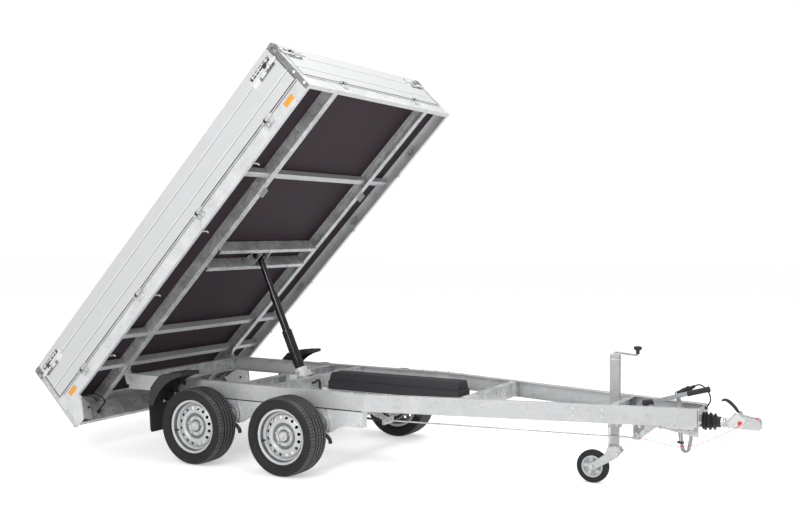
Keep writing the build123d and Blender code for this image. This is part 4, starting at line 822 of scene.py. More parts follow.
class TRAILER_OT_rims(bpy.types.Operator):
    """Build the four pressed rims with vents, wheel bolts, caps, drums and valves"""

    bl_idname = "trailer.rims"
    bl_label = "Rims"

    def execute(self, context):
        for end in ("front", "rear"):
            for side in ("left", "right"):
                place = wheel_mm(end, side)
                shapes = Shapes()
                # Faces of the well in rim_shade: painted shade
                shaded_faces = [1 if 151.0 <= radius < 166.0 and z > -25 else 0 for radius, z in RIM_PROFILE]
                shapes.lathe(RIM_PROFILE, place, 96, shaded_faces * 96)
                draw_disc(shapes, place)
                bmesh.ops.remove_doubles(shapes.mesh, verts=shapes.mesh.verts, dist=0.00002)
                shapes.piece(
                    f"rim_shell_{end}_{side}", f"wheel_{end}_{side}",
                    ["rim_silver", "rim_shade", "black_enamel"],
                    bevel=0, angle=40, replaces=[f"rim_{end}_{side}"],
                )
                shapes = Shapes()
                shapes.turned([(33, 26), (33, 40), (31, 44), (24, 46), (22, 45), (0.5, 45)], place, 40)
                bolt_circle, bolt_start = 56, 0.3
                for turn in turns(5):
                    boss = shift(place @ Matrix.Rotation(turn + bolt_start, 4, "Z"), bolt_circle, 0, 26)
                    shapes.turned([(15, 2), (13.5, 5), (11.5, 6)], boss, 24)
                    shapes.turned([(9.8, 6), (9.8, 15), (8, 18), (0.5, 18.5)], boss, 6)
                drum = [
                    (44, -118), (118, -118), (118, -64), (112, -60), (46, -60), (46, 22), (72, 22),
                    (72, 26), (20.5, 26), (20.5, -110),
                ]
                shapes.lathe(drum, place, 64, 1)
                valve = [(6, -4), (6, 4), (3.8, 8), (3.8, 22), (4.6, 22), (4.6, 31), (3.4, 32)]
                shapes.turned(valve, shift(place @ Matrix.Rotation(3.4, 4, "Z"), 157, 0, 36), 14, 2)
                shapes.piece(
                    f"wheel_bolts_{end}_{side}", f"wheel_{end}_{side}",
                    ["bright_zinc", "black_enamel", "soft_rubber"], bevel=0.4,
                )
        return {"FINISHED"}


# Drawbar pieces, drawn in the chassis frame
def profile_plane(y):
    """Chassis frame in which X and Y of an outline are the trailer's X and Z, pushed towards -Y."""
    return shift(chassis_mm, 0, y, 0) @ sideways(-1)


def along_x(x, z, y=0.0):
    """Chassis frame whose Z runs along the trailer from a point."""
    return shift(chassis_mm, x, y, z) @ forwards


CABLE_ROUTE = (
    (2508.0, -14.0, 319.0), (2548.0, -14.0, 319.0), (2603.0, -14.8, 310.1),
    (2655.7, -15.8, 300.5), (2708.5, -16.9, 294.3), (2762.6, -17.4, 295.0),
    (2814.8, -18.9, 302.1), (2867.0, -22.9, 316.5), (2914.2, -31.1, 338.1),
    (2961.5, -39.8, 362.6), (3007.1, -46.8, 388.0), (3054.5, -49.9, 414.9),
    (3101.5, -45.8, 443.9), (3130.0, -42.0, 462.0),
)
LEAD_ROUTE = (
    (2912.0, 50.0, 545.0), (2926.0, 50.0, 560.75), (2934.0, 50.0, 582.0), (2930.0, 52.0, 612.0),
    (2912.0, 56.0, 644.0), (2884.0, 60.0, 666.0), (2856.0, 62.0, 674.0), (2836.0, 62.0, 662.0),
)


def route_curve(name, route, radius, finish):
    """Smooth cord along a route given in the chassis frame."""
    curve = bpy.data.curves.new(name, "CURVE")
    curve.dimensions = "3D"
    spline = curve.splines.new("NURBS")
    spline.points.add(len(route) - 1)
    for point, where in zip(spline.points, route):
        point.co = (*(chassis_mm @ Vector(where)), 1)
    spline.order_u = 3
    spline.use_endpoint_u = True
    spline.resolution_u = 10
    curve.bevel_depth = radius / 1000
    curve.bevel_resolution = 4
    curve.use_fill_caps = True
    curve.materials.append(bpy.data.materials[finish])
    return add_object(name, curve)


class TRAILER_OT_cords(bpy.types.Operator):
    """Lay the red breakaway cable and the lighting lead with its parked plug"""

    bl_idname = "trailer.cords"
    bl_label = "Cords"

    def execute(self, context):
        cable = route_curve("breakaway_cord", CABLE_ROUTE, 1.6, "red_sheath")
        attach(cable, "chassis")
        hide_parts("breakaway_cable")
        lead = route_curve("lighting_cord", LEAD_ROUTE, 4.5, "black_sheath")
        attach(lead, "chassis")
        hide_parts("lighting_lead")

        plug_lean = Matrix.Rotation(math.radians(59.04), 4, "Y")
        plug_place = shift(chassis_mm, 2736.0, 62.0, 602.0) @ plug_lean
        plug = Shapes()
        plug.turned(
            [(19, 0), (21.5, 1.5), (21.5, 20), (20, 21), (20, 24), (22, 25), (22, 47), (20.5, 50),
             (17.5, 52), (17, 74), (14.5, 84), (11.5, 90), (11.5, 96), (10, 98), (9.6, 108), (8, 116)],
            plug_place, 40,
        )
        for turn in turns(12):
            plug.slab((16, -1.6, 51), (20, 1.6, 80), plug_place @ Matrix.Rotation(turn, 4, "Z"))
        quarter = Matrix.Rotation(math.pi / 2, 4, "Z")
        plug.slab((18, -6, 3), (25, 6, 40), plug_place @ quarter)
        plug_piece = plug.piece(
            "parked_plug", "chassis", ["black_plastic"], bevel=0.8,
            replaces=["lead_plug"],
        )
        gland = Shapes()
        heading = Vector(LEAD_ROUTE[1]) - Vector(LEAD_ROUTE[0])
        base = Vector(LEAD_ROUTE[0]) - heading.normalized() * 20
        gland.turned(
            [(9.5, 0), (9.5, 9), (8.4, 10), (8.4, 16), (7.4, 19), (5.2, 26), (4.8, 30)],
            shift(chassis_mm, *base) @ aim(heading), 24,
        )
        gland.piece("lead_gland", "chassis", ["soft_rubber"], bevel=0.3)
        return {"FINISHED"}


class TRAILER_OT_bellows(bpy.types.Operator):
    """Build the folded rubber bellows over the drawtube"""

    bl_idname = "trailer.bellows"
    bl_label = "Bellows"

    def execute(self, context):
        profile = [(26, 0), (50, 0), (52, 1.5), (52, 6), (46, 8)]
        crests = ((16.0, 59.0), (44.0, 56.0), (71.0, 52.0))
        valleys = (30.5, 58.5, 84.0)
        for (crest_x, crest_r), valley_x in zip(crests, valleys):
            for share in (-0.55, -0.3, 0.0, 0.3, 0.55):
                profile.append((crest_r - 34 * share**2 * 1.2, crest_x + 15 * share))
            profile += [
                (crest_r - 17, valley_x - 3.5), (crest_r - 19, valley_x), (crest_r - 18, valley_x + 3),
            ]
        profile += [(31, 89), (31, 92), (33.5, 94), (33.5, 102), (31, 104), (31, 106), (26, 106)]
        shapes = Shapes()
        shapes.lathe(profile, along_x(2902.0, 464.0), 72)
        made = shapes.piece(
            "folded_bellows", "chassis", ["soft_rubber"], bevel=0, angle=60,
            replaces=["bellows"],
        )
        subdivide(made)
        return {"FINISHED"}


class TRAILER_OT_handbrake(bpy.types.Operator):
    """Build the handbrake lever with its gaiter, clip and ribbed grip"""

    bl_idname = "trailer.handbrake"
    bl_label = "Handbrake"

    def execute(self, context):
        shapes = Shapes()
        base, tip = Vector((2560.0, 0, 543.0)), Vector((2812.0, 0, 622.0))
        run = tip - base
        arm = shift(chassis_mm, *base) @ Matrix.Rotation(math.atan2(run.x, run.z), 4, "Y")
        tube = [(-13, -8), (-11, -10), (11, -10), (13, -8), (13, 8), (11, 10), (-11, 10), (-13, 8)]
        shapes.prism(tube, -30, run.length + 12, arm)
        shapes.prism([(-16, -11.5), (16, -11.5), (16, 11.5), (-16, 11.5)], 40, 58, arm)
        grip = shift(chassis_mm, *tip) @ Matrix.Rotation(math.atan2(127, 36), 4, "Y")
        ribs = [(13.5, -6), (17.5, -5), (18, -2), (18, 4)]
        for rib in range(16):
            at = 6 + rib * 7.0
            ribs += [
                (16.6, at), (16.2, at + 1.2), (16.2, at + 2.4), (16.6, at + 3.4), (17.2, at + 4.4),
                (17.2, at + 6.0),
            ]
        ribs += [(18, 120), (18.5, 122), (18.5, 129), (16, 132), (8, 133)]
        shapes.turned(ribs, grip, 32, 1)
        gaiter = [
            (24, -62), (26, -60), (25, -52), (20, -48), (22, -44), (23, -38), (18, -32), (19.5, -28),
            (20, -20), (16, -14), (17, -8), (17, 2), (14, 6),
        ]
        shapes.turned([(r * 0.92, z + 34) for r, z in gaiter], arm, 32, 1)
        ear = [(2488, 503), (2498, 542), (2530, 556), (2566, 550), (2600, 532), (2596, 503)]
        for low, high in ((0, 3), (19, 22)):
            shapes.prism(ear, low, high, profile_plane(11))
        for side in (-1, 1):
            shapes.bolt((2520, side * 11, 512), (0, side, 0), chassis_mm, 17, 8, 2)
        shapes.rod((2700, -12, 582), (2700, 12, 582), 4, chassis_mm, 12, 2)
        shapes.piece(
            "brake_lever", "chassis", ["grey_paint", "black_plastic", "bright_zinc"],
            bevel=0.7, replaces=["handbrake_lever"],
        )
        return {"FINISHED"}


class TRAILER_OT_coupling(bpy.types.Operator):
    """Build the ball coupling's cheek plates, bolts, red mark, cable ring and grip"""

    bl_idname = "trailer.coupling"
    bl_label = "Coupling"

    def execute(self, context):
        head_x, head_top, centre = 3054.0, 500.0, 464.0
        shapes = Shapes()
        cheek = [
            (head_x + 8, centre - 16), (head_x + 4, centre + 10), (head_x + 40, head_top + 20),
            (head_x + 52, head_top + 36), (head_x + 64, head_top + 36), (head_x + 78, head_top + 14),
            (head_x + 100, head_top + 2), (head_x + 106, centre + 6), (head_x + 84, centre - 22),
            (head_x + 40, centre - 26),
        ]
        for y in (39.5, -36.0):
            shapes.prism(cheek, 0, 3.5, profile_plane(y))
        shapes.turned([(30, 0), (30, 4), (27, 7)], along_x(head_x - 24, centre), 40)
        shapes.turned([(27, 0), (28.5, 2), (28.5, 14), (27, 16)], along_x(head_x - 46, centre), 40)
        heads = (
            # place along, half spacing, height and width across the flats
            (head_x + 57, 39.5, head_top + 24, 13.0), (head_x + 116, 36.0, centre + 14, 10.0),
            (head_x + 30, 39.5, centre, 15.0),
        )
        for x, y, z, size in heads:
            for side in (1, -1):
                shapes.bolt((x, side * y, z), (0, side, 0), chassis_mm, size, 5)
        for side in (1, -1):
            disc = shift(chassis_mm, head_x + 70, side * 36, centre + 8) @ sideways(side)
            shapes.turned([(13, 0), (13, 6.5), (11.5, 8), (0.5, 8.4)], disc, 32, 1)
        shapes.prism([(3208, 499.5), (3226, 499.5), (3224, 506), (3208, 508)], -9, 9, profile_plane(0), 1)
        shapes.turned([(9, 0), (9, 10), (5, 12)], shift(chassis_mm, 3150, 0, head_top + 8), 20, 0)
        # Ring of two turns that the breakaway cable is hooked on
        ring = [
            (3046 + 10 * math.cos(a) * (1 + 0.03 * i), -33 - 3.2 * math.sin(a * 0.5), 436 + 8 * math.sin(a))
            for i, a in enumerate(2 * math.pi * step / 20 for step in range(40))
        ]
        shapes.tube(ring, 1.6, chassis_mm, 8, 0)
        shapes.piece(
            "coupling_plates", "chassis", ["bright_zinc", "red_sheath"], bevel=0.8
        )

        grip = Shapes()
        spine = [(3116, 522), (3098, 548), (3078, 572), (3052, 594), (3034, 602), (3018, 600), (3010, 590)]
        width = [9.0, 11.0, 13.0, 13.5, 13.0, 11.5, 8.5]
        thick = [7.0, 9.0, 10.0, 10.0, 9.0, 7.5, 5.5]
        rings = []
        for index, (x, z) in enumerate(spine):
            before, after = spine[max(index - 1, 0)], spine[min(index + 1, len(spine) - 1)]
            run = Vector((after[0] - before[0], 0, after[1] - before[1])).normalized()
            up = Vector((-run.z, 0, run.x))
            for turn in turns(16):
                across = math.copysign(abs(math.cos(turn)) ** 0.6, math.cos(turn)) * width[index]
                high = math.copysign(abs(math.sin(turn)) ** 0.6, math.sin(turn)) * thick[index]
                rings.append(Vector((x, across, z)) + up * high)
        grip.faces(rings, bands(len(spine), 16), chassis_mm)
        for x, z in ((3062, 597), (3044, 607), (3082, 580)):
            grip.turned([(2.6, 0), (2.6, 1.5)], shift(chassis_mm, x, -9, z), 12, 1)
        made = grip.piece(
            "coupling_grip", "chassis", ["black_plastic", "bright_zinc"], bevel=0,
            angle=50, replaces=["coupling_handle"],
        )
        subdivide(made)
        return {"FINISHED"}


class TRAILER_OT_jockey(bpy.types.Operator):
    """Build the jockey wheel's crank, knob, clamp, fork bolts, spoked rim and tyre"""

    bl_idname = "trailer.jockey"
    bl_label = "Jockey wheel"

    def execute(self, context):
        x, y, top = mast_x, mast_y, mast_top
        shapes = Shapes()
        shapes.turned(
            [(14, 0), (14, 4), (9, 6), (9, 18), (7, 20)], shift(chassis_mm, x - 4, y, top + 5), 24
        )
        shapes.tube(
            [(x - 6, y, top + 20), (x + 10, y, top + 21), (x + 40, y, top + 18), (x + 90, y, top + 14),
             (x + 132, y, top + 11), (x + 141, y, top + 13), (x + 144, y, top + 22)],
            6.2, chassis_mm, 12, 2,
        )
        knob = shift(chassis_mm, x + 144, y, top + 18)
        shapes.turned(
            [(6, 0), (11, 1), (12, 4), (11, 16), (12, 22), (20, 27), (25, 33), (26, 40), (23, 46),
             (12, 49), (1, 49.5)],
            knob, 36, 1,
        )
        shapes.piece(
            "crank_and_knob", "chassis", ["bright_zinc", "black_plastic", "dull_zinc"],
            bevel=0.4, angle=40, replaces=["jockey_crank"],
        )

        clamp = Shapes()
        clamp.bolt((x - 6, y - 21, top - 22), (0, -1, 0), chassis_mm, 13, 6)
        for bolt_x in (x - 24, x + 24):
            clamp.bolt((bolt_x, y - 30, 394), (0, -1, 0), chassis_mm, 17, 8, 0, 8)
        clamp.slab((x - 40, y - 12, 376), (x - 30, y + 12, 410), chassis_mm)
        clamp.rod((x - 33, y - 14, 258), (x - 36, y - 14, 372), 4.5, chassis_mm, 14)
        clamp.slab((x - 42, y - 24, 256), (x - 24, y - 4, 264), chassis_mm)
        clamp.turned([(7, 0), (7, 9), (3, 12)], shift(chassis_mm, x - 33, y - 14, 244), 16)
        clamp.piece("mast_clamp", "chassis", ["bright_zinc"], bevel=0.5)

        plates = Shapes()
        for side in (1, -1):
            face_y = y + side * 38
            for bolt_x, bolt_z, size in ((x + 24, 208, 15.0), (x - 30, 204, 10.0), (x - 18, 172, 9.0)):
                plates.bolt((bolt_x, face_y, bolt_z), (0, side, 0), chassis_mm, size, 5)
            plates.bolt((2202, face_y, 106), (0, side, 0), chassis_mm, 22, 10, 0, 5)
        plates.piece("fork_bolts", "jockey_swivel", ["bright_zinc"], bevel=0.4)

        place = Matrix.Translation(joint_place("jockey_spin")) @ sideways(-1) @ MM
        tyre = Shapes()
        tyre.lathe(
            [(71, -23), (74, -26), (80, -27.5), (90, -27.5), (97, -25.5), (102, -22), (104.6, -16),
             (105.6, -8), (106, 0), (105.6, 8), (104.6, 16), (102, 22), (97, 25.5), (90, 27.5),
             (80, 27.5), (74, 26), (71, 23), (70, 0)],
            place, 80,
        )
        tyre.piece(
            "jockey_tread", "jockey_wheel", ["tyre_rubber"], bevel=0, angle=45,
            replaces=["jockey_tyre"],
        )
        rim = Shapes()
        rim.lathe(
            [(70, -22), (66, -24), (62, -23), (60, -18), (57, -10), (57, 10), (60, 18), (62, 23),
             (66, 24), (70, 22), (70, 0)],
            place, 72,
        )
        for side in (1, -1):
            face = place @ Matrix.Rotation(0 if side > 0 else math.pi, 4, "X")
            rim.lathe([(12, 20), (24, 19), (27, 14), (30, 10), (30, 7), (24, 7), (12, 9)], face, 48)
            for turn in turns(5):
                arm = face @ Matrix.Rotation(turn + 0.5, 4, "Z")
                rim.prism([(22, -8), (60, -13), (60, 13), (22, 8)], 3, 11, arm)
                rim.prism([(28, -2.2), (58, -2.2), (58, 2.2), (28, 2.2)], 11, 15, arm)
        rim.turned([(13, -27), (13, 27)], place, 32)
        rim.lathe(
            [(12, -4), (58, -4), (58, 4), (46, 5.5), (40, 2.5), (30, 3), (24, 6), (12, 7)], place, 64, 1
        )
        rim.piece(
            "jockey_spokes", "jockey_wheel", ["rim_silver", "grey_paint"], bevel=0.6,
            replaces=["jockey_rim"],
        )
        return {"FINISHED"}


class TRAILER_OT_pump_box(bpy.types.Operator):
    """Build the moulded pump box: base, groove, raised lid with its rim and end ribs"""

    bl_idname = "trailer.pump_box"
    bl_label = "Pump box"

    def execute(self, context):
        low, high = (262.0, -107.0), (1312.0, 63.0)
        levels = (
            # height, inset from the sides, inset from the ends
            (474.0, 2.0, 2.0), (476.0, 0.0, 0.0), (531.0, 0.0, 0.0), (533.0, 1.5, 1.5),
            (534.0, 7.0, 7.0), (537.0, 8.0, 8.0), (540.0, 8.0, 8.0), (542.0, 7.0, 7.0),
            (586.0, 12.0, 16.0), (590.5, 15.0, 20.0), (592.5, 20.0, 26.0),
        )
        points = []
        for z, side_in, end_in in levels:
            x0, x1 = low[0] + end_in, high[0] - end_in
            y0, y1 = low[1] + side_in, high[1] - side_in
            middle = ((x0 + x1) / 2, (y0 + y1) / 2)
            points += [(x, y, z) for x, y in rounded(x1 - x0, y1 - y0, 9.0, middle, 3)]
        shapes = Shapes()
        shapes.faces(points, bands(len(levels), 16), chassis_mm)
        for x0, x1 in ((300, 1130), (1160, 1270)):
            shapes.slab((x0, -78, 592.5), (x1, 34, 594.0), chassis_mm)
        for y in (-60.0, -22.0, 16.0):
            shapes.slab((1304, y - 12, 484), (1313, y + 12, 526), chassis_mm)
        shapes.piece(
            "moulded_box", "chassis", ["black_plastic"], bevel=1.2, angle=40,
            replaces=["pump_box"],
        )
        return {"FINISHED"}


# Bed pieces
def rounded(length, height, radius, centre=(0.0, 0.0), steps=4):
    """Outline of a rounded rectangle."""
    half_x, half_y = length / 2 - radius, height / 2 - radius
    outline = []
    for corner_x, corner_y, turn in (
        (half_x, half_y, 0), (-half_x, half_y, 90), (-half_x, -half_y, 180), (half_x, -half_y, 270),
    ):
        for step in range(steps + 1):
            angle = math.radians(turn + 90 * step / steps)
            outline.append((
                centre[0] + corner_x + radius * math.cos(angle),
                centre[1] + corner_y + radius * math.sin(angle),
            ))
    return outline


def board_end(name, end):
    """Frame at an end of a board: X in from its end, Y up, Z outwards, at the latch's height."""
    at_x, inwards = (latch_inset, 1) if end == "start" else (BOARDS[name][0] - latch_inset, -1)
    turn = Matrix(((inwards, 0, 0, 0), (0, 0, 1, 0), (0, 1, 0, 0), (0, 0, 0, 1)))
    return shift(board_mm(name), at_x, 0, latch_z) @ turn


def draw_latch(shapes, place):
    """Over-centre latch: claw, pull rods with a barrel nut, lever in its tray, and a spring clip."""
    shapes.prism(rounded(222, 74, 9, (133, 0)), 0.0, 1.4, place)
    # Lever: a channel whose hollow is painted dark as its shade, its rods and its pivot pins
    lever = rounded(200, 30, 9, (130, 27))
    shapes.prism(lever, 1.4, 3.0, place, 1)
    shapes.collar(lever, rounded(190, 20, 6, (130, 27)), 1.4, 7.0, place, 2)
    shapes.rod((40, 30, 6.0), (212, 30, 6.0), 4.0, place, 14)
    for pin_x in (58, 96, 140, 172, 204):
        shapes.rod((pin_x, 15, 7.5), (pin_x, 40, 7.5), 3.4, place, 12)
    # Spring housing, painted dark as shade, and the bright handle bar beside it
    shapes.prism(rounded(30, 32, 4, (89, 10)), 1.4, 13.0, place, 1)
    shapes.prism(rounded(150, 10, 4.5, (176, 4)), 1.4, 12.0, place)
    shapes.prism(rounded(16, 22, 7, (244, 8)), 0.0, 3.2, place)
    # Claw that runs out to the keeper, and its two pull rods
    shapes.prism([(-8, -22), (40, -24), (52, -16), (52, -8), (40, -2), (-8, -4)], 3.8, 11.0, place)
    for rod_y in (-18, -8):
        shapes.rod((44, rod_y, 7.6), (104, rod_y, 7.6), 3.2, place, 12)
    shapes.rod((74, -26, 7.6), (74, -2, 7.6), 5.6, place, 16)
    # Spring clip: slotted block under the lever, its slots painted dark as their shade
    shapes.prism(rounded(150, 24, 5, (101, -28)), 1.4, 5.0, place, 2)
    for slot_x, length in ((38, 22), (66, 16), (90, 12)):
        shapes.prism(rounded(length, 10, 4, (slot_x, -29)), 5.0, 5.5, place, 1)
    shapes.prism(rounded(60, 14, 3, (140, -26)), 5.0, 8.5, place)
    shapes.prism(rounded(20, 24, 3, (164, -28)), 5.0, 9.5, place, 2)
    for rivet_x, rivet_y in ((228, 28), (228, -28), (190, -28)):
        rivet = shift(place, rivet_x, rivet_y, 1.2)
        shapes.turned([(5.2, 0), (5.2, 2.0), (4.2, 3.6), (2.0, 4.4)], rivet, 14)


class TRAILER_OT_latches(bpy.types.Operator):
    """Build the eight board latches and their keepers on the corner posts"""

    bl_idname = "trailer.latches"
    bl_label = "Board latches"

    def execute(self, context):
        keepers = Shapes()
        for name in BOARDS:
            latches = Shapes()
            for end in ("start", "end"):
                place = board_end(name, end)
                draw_latch(latches, place)
                out = 20.0 if name == "tailgate" else 0.0
                plate = shift(place, -latch_inset, 0, out)
                keepers.prism(rounded(38, 88, 4, (-26, 35)), 0.0, 3.0, plate, 2)
                keepers.prism(rounded(30, 46, 5, (-26, 42)), 3.0, 8.0, plate, 2)
                # Dark dot on the keeper: painted shade of a hole
                keepers.turned([(6.5, 8.0), (6.5, 8.6)], shift(plate, -26, 44, 0), 18, 1)
                keepers.collar(
                    rounded(26, 12, 5, (-27, 12)), rounded(16, 4, 1.9, (-27, 12)), 3.0, 9.0, plate
                )
                for bolt_y, bolt_z in ((24, 8.0), (68, 3.0)):
                    keepers.bolt((-26, bolt_y, bolt_z), (0, 0, 1), plate, 7, 2)
            latches.piece(
                f"{name}_latch_set", name, ["bright_edge", "recess_zinc", "dull_zinc"],
                bevel=0.5, replaces=[f"{name}_latches"],
            )
        keepers.piece(
            "latch_keepers", "bed", ["bright_zinc", "recess_zinc", "dull_zinc"],
            bevel=0.5,
        )
        return {"FINISHED"}


class TRAILER_OT_hinges(bpy.types.Operator):
    """Fit carriage bolts to the hinge leaves, and sleeves and straps to the boards' knuckles, half black plastic
    as painted shade of the gap beside the leaf and half bright zinc
    """

    bl_idname = "trailer.hinges"
    bl_label = "Board hinges"

    def execute(self, context):
        bolts = Shapes()
        for name, (_, _, _, hinges) in BOARDS.items():
            sleeves = Shapes()
            # Which half of each sleeve and strap is black: painted shade, on the side where the gap's shadow falls
            shade_first = 0 if name in ("left_board", "front_board") else 1
            for hinge_x in hinges:
                place = shift(board_mm(name), hinge_x, 0, pivot_z)
                for bolt_x in (-17, 17):
                    head = shift(place, bolt_x, 5, -32) @ sideways(1)
                    bolts.turned([(9.5, 0), (9.5, 1.2), (8.0, 3.6), (4.5, 5.4), (1.0, 5.8)], head, 24)
                for ring_x in (-50, 50):
                    cap = shift(place, ring_x, 10, 0) @ forwards
                    bolts.turned([(6.5, -1.5), (7.5, 0), (6.5, 1.5)], cap, 20)
                bush = shift(place, 10, 10, 0) @ forwards
                sleeves.lathe([(9.05, -16.6), (9.05, -1), (9.35, -1), (9.35, -16.6)], bush, 32, shade_first)
                sleeves.lathe([(9.05, -1), (9.05, 16.6), (9.35, 16.6), (9.35, -1)], bush, 32, 1 - shade_first)
                section = place @ end_on
                strap = [(4.4, 18.4), (4.4, 21.5), (19.9, 1.0), (19.9, -1.5), (18.7, -1.5)]
                sleeves.prism(strap, -6.6, 9.0, section, shade_first)
                sleeves.prism(strap, 9.0, 26.6, section, 1 - shade_first)
                for screw_x in (0, 20):
                    screw = shift(place, screw_x, 4, 21) @ sideways(1)
                    sleeves.turned([(3.6, -1), (3.6, 1.0), (2.2, 2.2)], screw, 14, 1)
            sleeves.piece(
                f"{name}_hinge_sleeves", name, ["black_plastic", "bright_zinc"], bevel=0
            )
        bolts.piece("hinge_leaf_bolts", "bed", ["bright_zinc"], bevel=0)
        return {"FINISHED"}


class TRAILER_OT_posts(bpy.types.Operator):
    """Bolt the corner posts to the bed and cap the ends of the drop boards; paint shade on the front posts and
    along the profiles, and shade and highlights on the boards
    """

    bl_idname = "trailer.posts"
    bl_label = "Corner posts"

    def execute(self, context):
        shapes = Shapes()
        for side in (-1, 1):
            face = side * half_bed
            for u, v, size in (
                (3060, 147, 15), (3064, 40, 15), (-6, -40, 7), (-6, -118, 7), (2, 150, 9), (2, 236, 9),
            ):
                shapes.turned(
                    [(size * 0.72, 0), (size * 0.72, 1.2), (size * 0.5, 3.4), (1.0, 4.2)],
                    shift(bed_mm, u, face, v) @ sideways(side), 24,
                )
            # Thin dull plate on each front post's side face: painted shade that makes it darker than the rear
            # posts
            near, far = sorted((face + side * 0.1, face + side * 0.6))
            shapes.slab((3041, 2, near), (3077, 400, far), bed_mm @ upright(1), 2)
            # Dull strips along the side profiles between the hinges: painted shade under the profiles' top bead
            ends = [62.0] + [u + step for u in side_hinges for step in (-46.0, 46.0)] + [3034.0]
            near, far = sorted((face + side * 0.05, face + side * 0.5))
            for start, stop in zip(ends[::2], ends[1::2]):
                shapes.slab((start, 90, near), (stop, 96, far), bed_mm @ upright(1), 2)
            for u, width in ((3, 40), (3061, 34)):
                shapes.prism(rounded(width, 36, 5), 0.0, 2.4, shift(bed_mm, u, face - side * 21, 415), 1)
        # Dull band along the front end profile: painted shade below the front board
        shapes.slab(
            (bed_length - 0.4, -half_bed + 50, 84), (bed_length + 0.5, half_bed - 50, 93), bed_mm, 2
        )
        shapes.piece(
            "post_bolts", "bed", ["bright_edge", "black_plastic", "dull_zinc"], bevel=0
        )

        for name, (length, *_) in BOARDS.items():
            rails = Shapes()
            place = board_mm(name)
            rails.slab((2, -24.2, 303.0), (length - 2, -0.8, 306.2), place)
            # Each groove: a dark strip in it that paints its shade, and a strip of painted highlight on the edge
            # above it
            for groove_z in (81.0, 210.0):
                rails.slab((3, -27.0, groove_z - 3), (length - 3, -24.6, groove_z + 3), place)
                rails.slab((1, -1.9, groove_z - 1.9), (length - 1, -0.5, groove_z + 1.9), place, 1)
                rails.slab((1, -0.4, groove_z + 3.5), (length - 1, 0.5, groove_z + 12), place, 2)
            rails.slab((3, -26.6, 2), (length - 3, -24.6, 14), place)
            # Painted shade of the gap under the board, and a strip of painted highlight above it
            rails.slab((1, -0.6, -2.0), (length - 1, 0.3, 3.5), place, 3)
            rails.slab((1, -0.4, 4.0), (length - 1, 0.4, 8.0), place, 2)
            # Painted shade of the gaps at the board's ends
            for end in (0.6, length - 5.1):
                rails.slab((end, -0.6, 0), (end + 4.5, 0.3, 306), place, 3)
            rails.piece(
                f"{name}_rim", name, ["anodised", "groove_shade", "bright_edge", "gap_shade"],
                bevel=0.4,
            )
        return {"FINISHED"}


class TRAILER_OT_lamps(bpy.types.Operator):
    """Build the rear lamps with their lens fields and the amber side reflectors"""

    bl_idname = "trailer.lamps"
    bl_label = "Lamps and reflectors"

    def execute(self, context):
        lamp_face = 25.0
        shapes = Shapes()
        for side in (-1, 1):
            backwards = Matrix(((0, 0, -1, 0), (-side, 0, 0, 0), (0, 1, 0, 0), (0, 0, 0, 1)))
            place = shift(bed_mm, lamp_face, side * 800, -76) @ backwards
            shell = rounded(236, 100, 14)
            shapes.collar(shell, rounded(226, 90, 10), 0.0, 15.0, place, 0)
            shapes.prism(rounded(226, 90, 10), 0.0, 9.0, place, 0)
            for low, high, finish in ((-112, -40, 2), (-38, 50, 1), (52, 84, 3), (86, 112, 1)):
                middle, wide = (low + high) / 2, high - low
                shapes.prism(rounded(wide, 88, 6, (middle, 0)), 9.0, 16.5, place, finish)
                for rib in range(int(wide // 6)):
                    at = low + 4 + rib * 6
                    shapes.slab((at, -38, 16.5), (at + 2.4, 38, 17.2), place, finish)
            for x, y in ((-39, 38), (51, -38)):
                shapes.turned([(5, 16.5), (5, 17.8)], shift(place, x, y, 0), 14, 4)
        shapes.piece(
            "rear_lamp_units", "bed", ["black_plastic", "lamp_red", "amber", "clear_lens", "bright_zinc"],
            bevel=0.6, replaces=["rear_lamps"],
        )
        plates = Shapes()
        for side in (-1, 1):
            for u, v in ((165.0, 56.0), (bed_length - 175.0, 50.0)):
                place = shift(bed_mm, u, side * half_bed, v) @ upright(side)
                plates.prism(rounded(90, 42, 5), 0.0, 3.0, place, 0)
                plates.prism(rounded(84, 36, 3), 3.0, 5.6, place, 1)
                for row in range(4):
                    for column in range(9):
                        x, y = -37.6 + 9.4 * column, -13.2 + 8.8 * row
                        base = [(x - 4, y - 4), (x + 4, y - 4), (x + 4, y + 4), (x - 4, y + 4)]
                        plates.faces(
                            [(*point, 5.6) for point in base] + [(x, y, 6.2)],
                            [(0, 1, 4), (1, 2, 4), (2, 3, 4), (3, 0, 4)], place, 1,
                        )
        plates.piece(
            "side_reflectors", "bed", ["reflector_rim", "amber"], bevel=0.4,
            replaces=["reflectors"],
        )
        return {"FINISHED"}


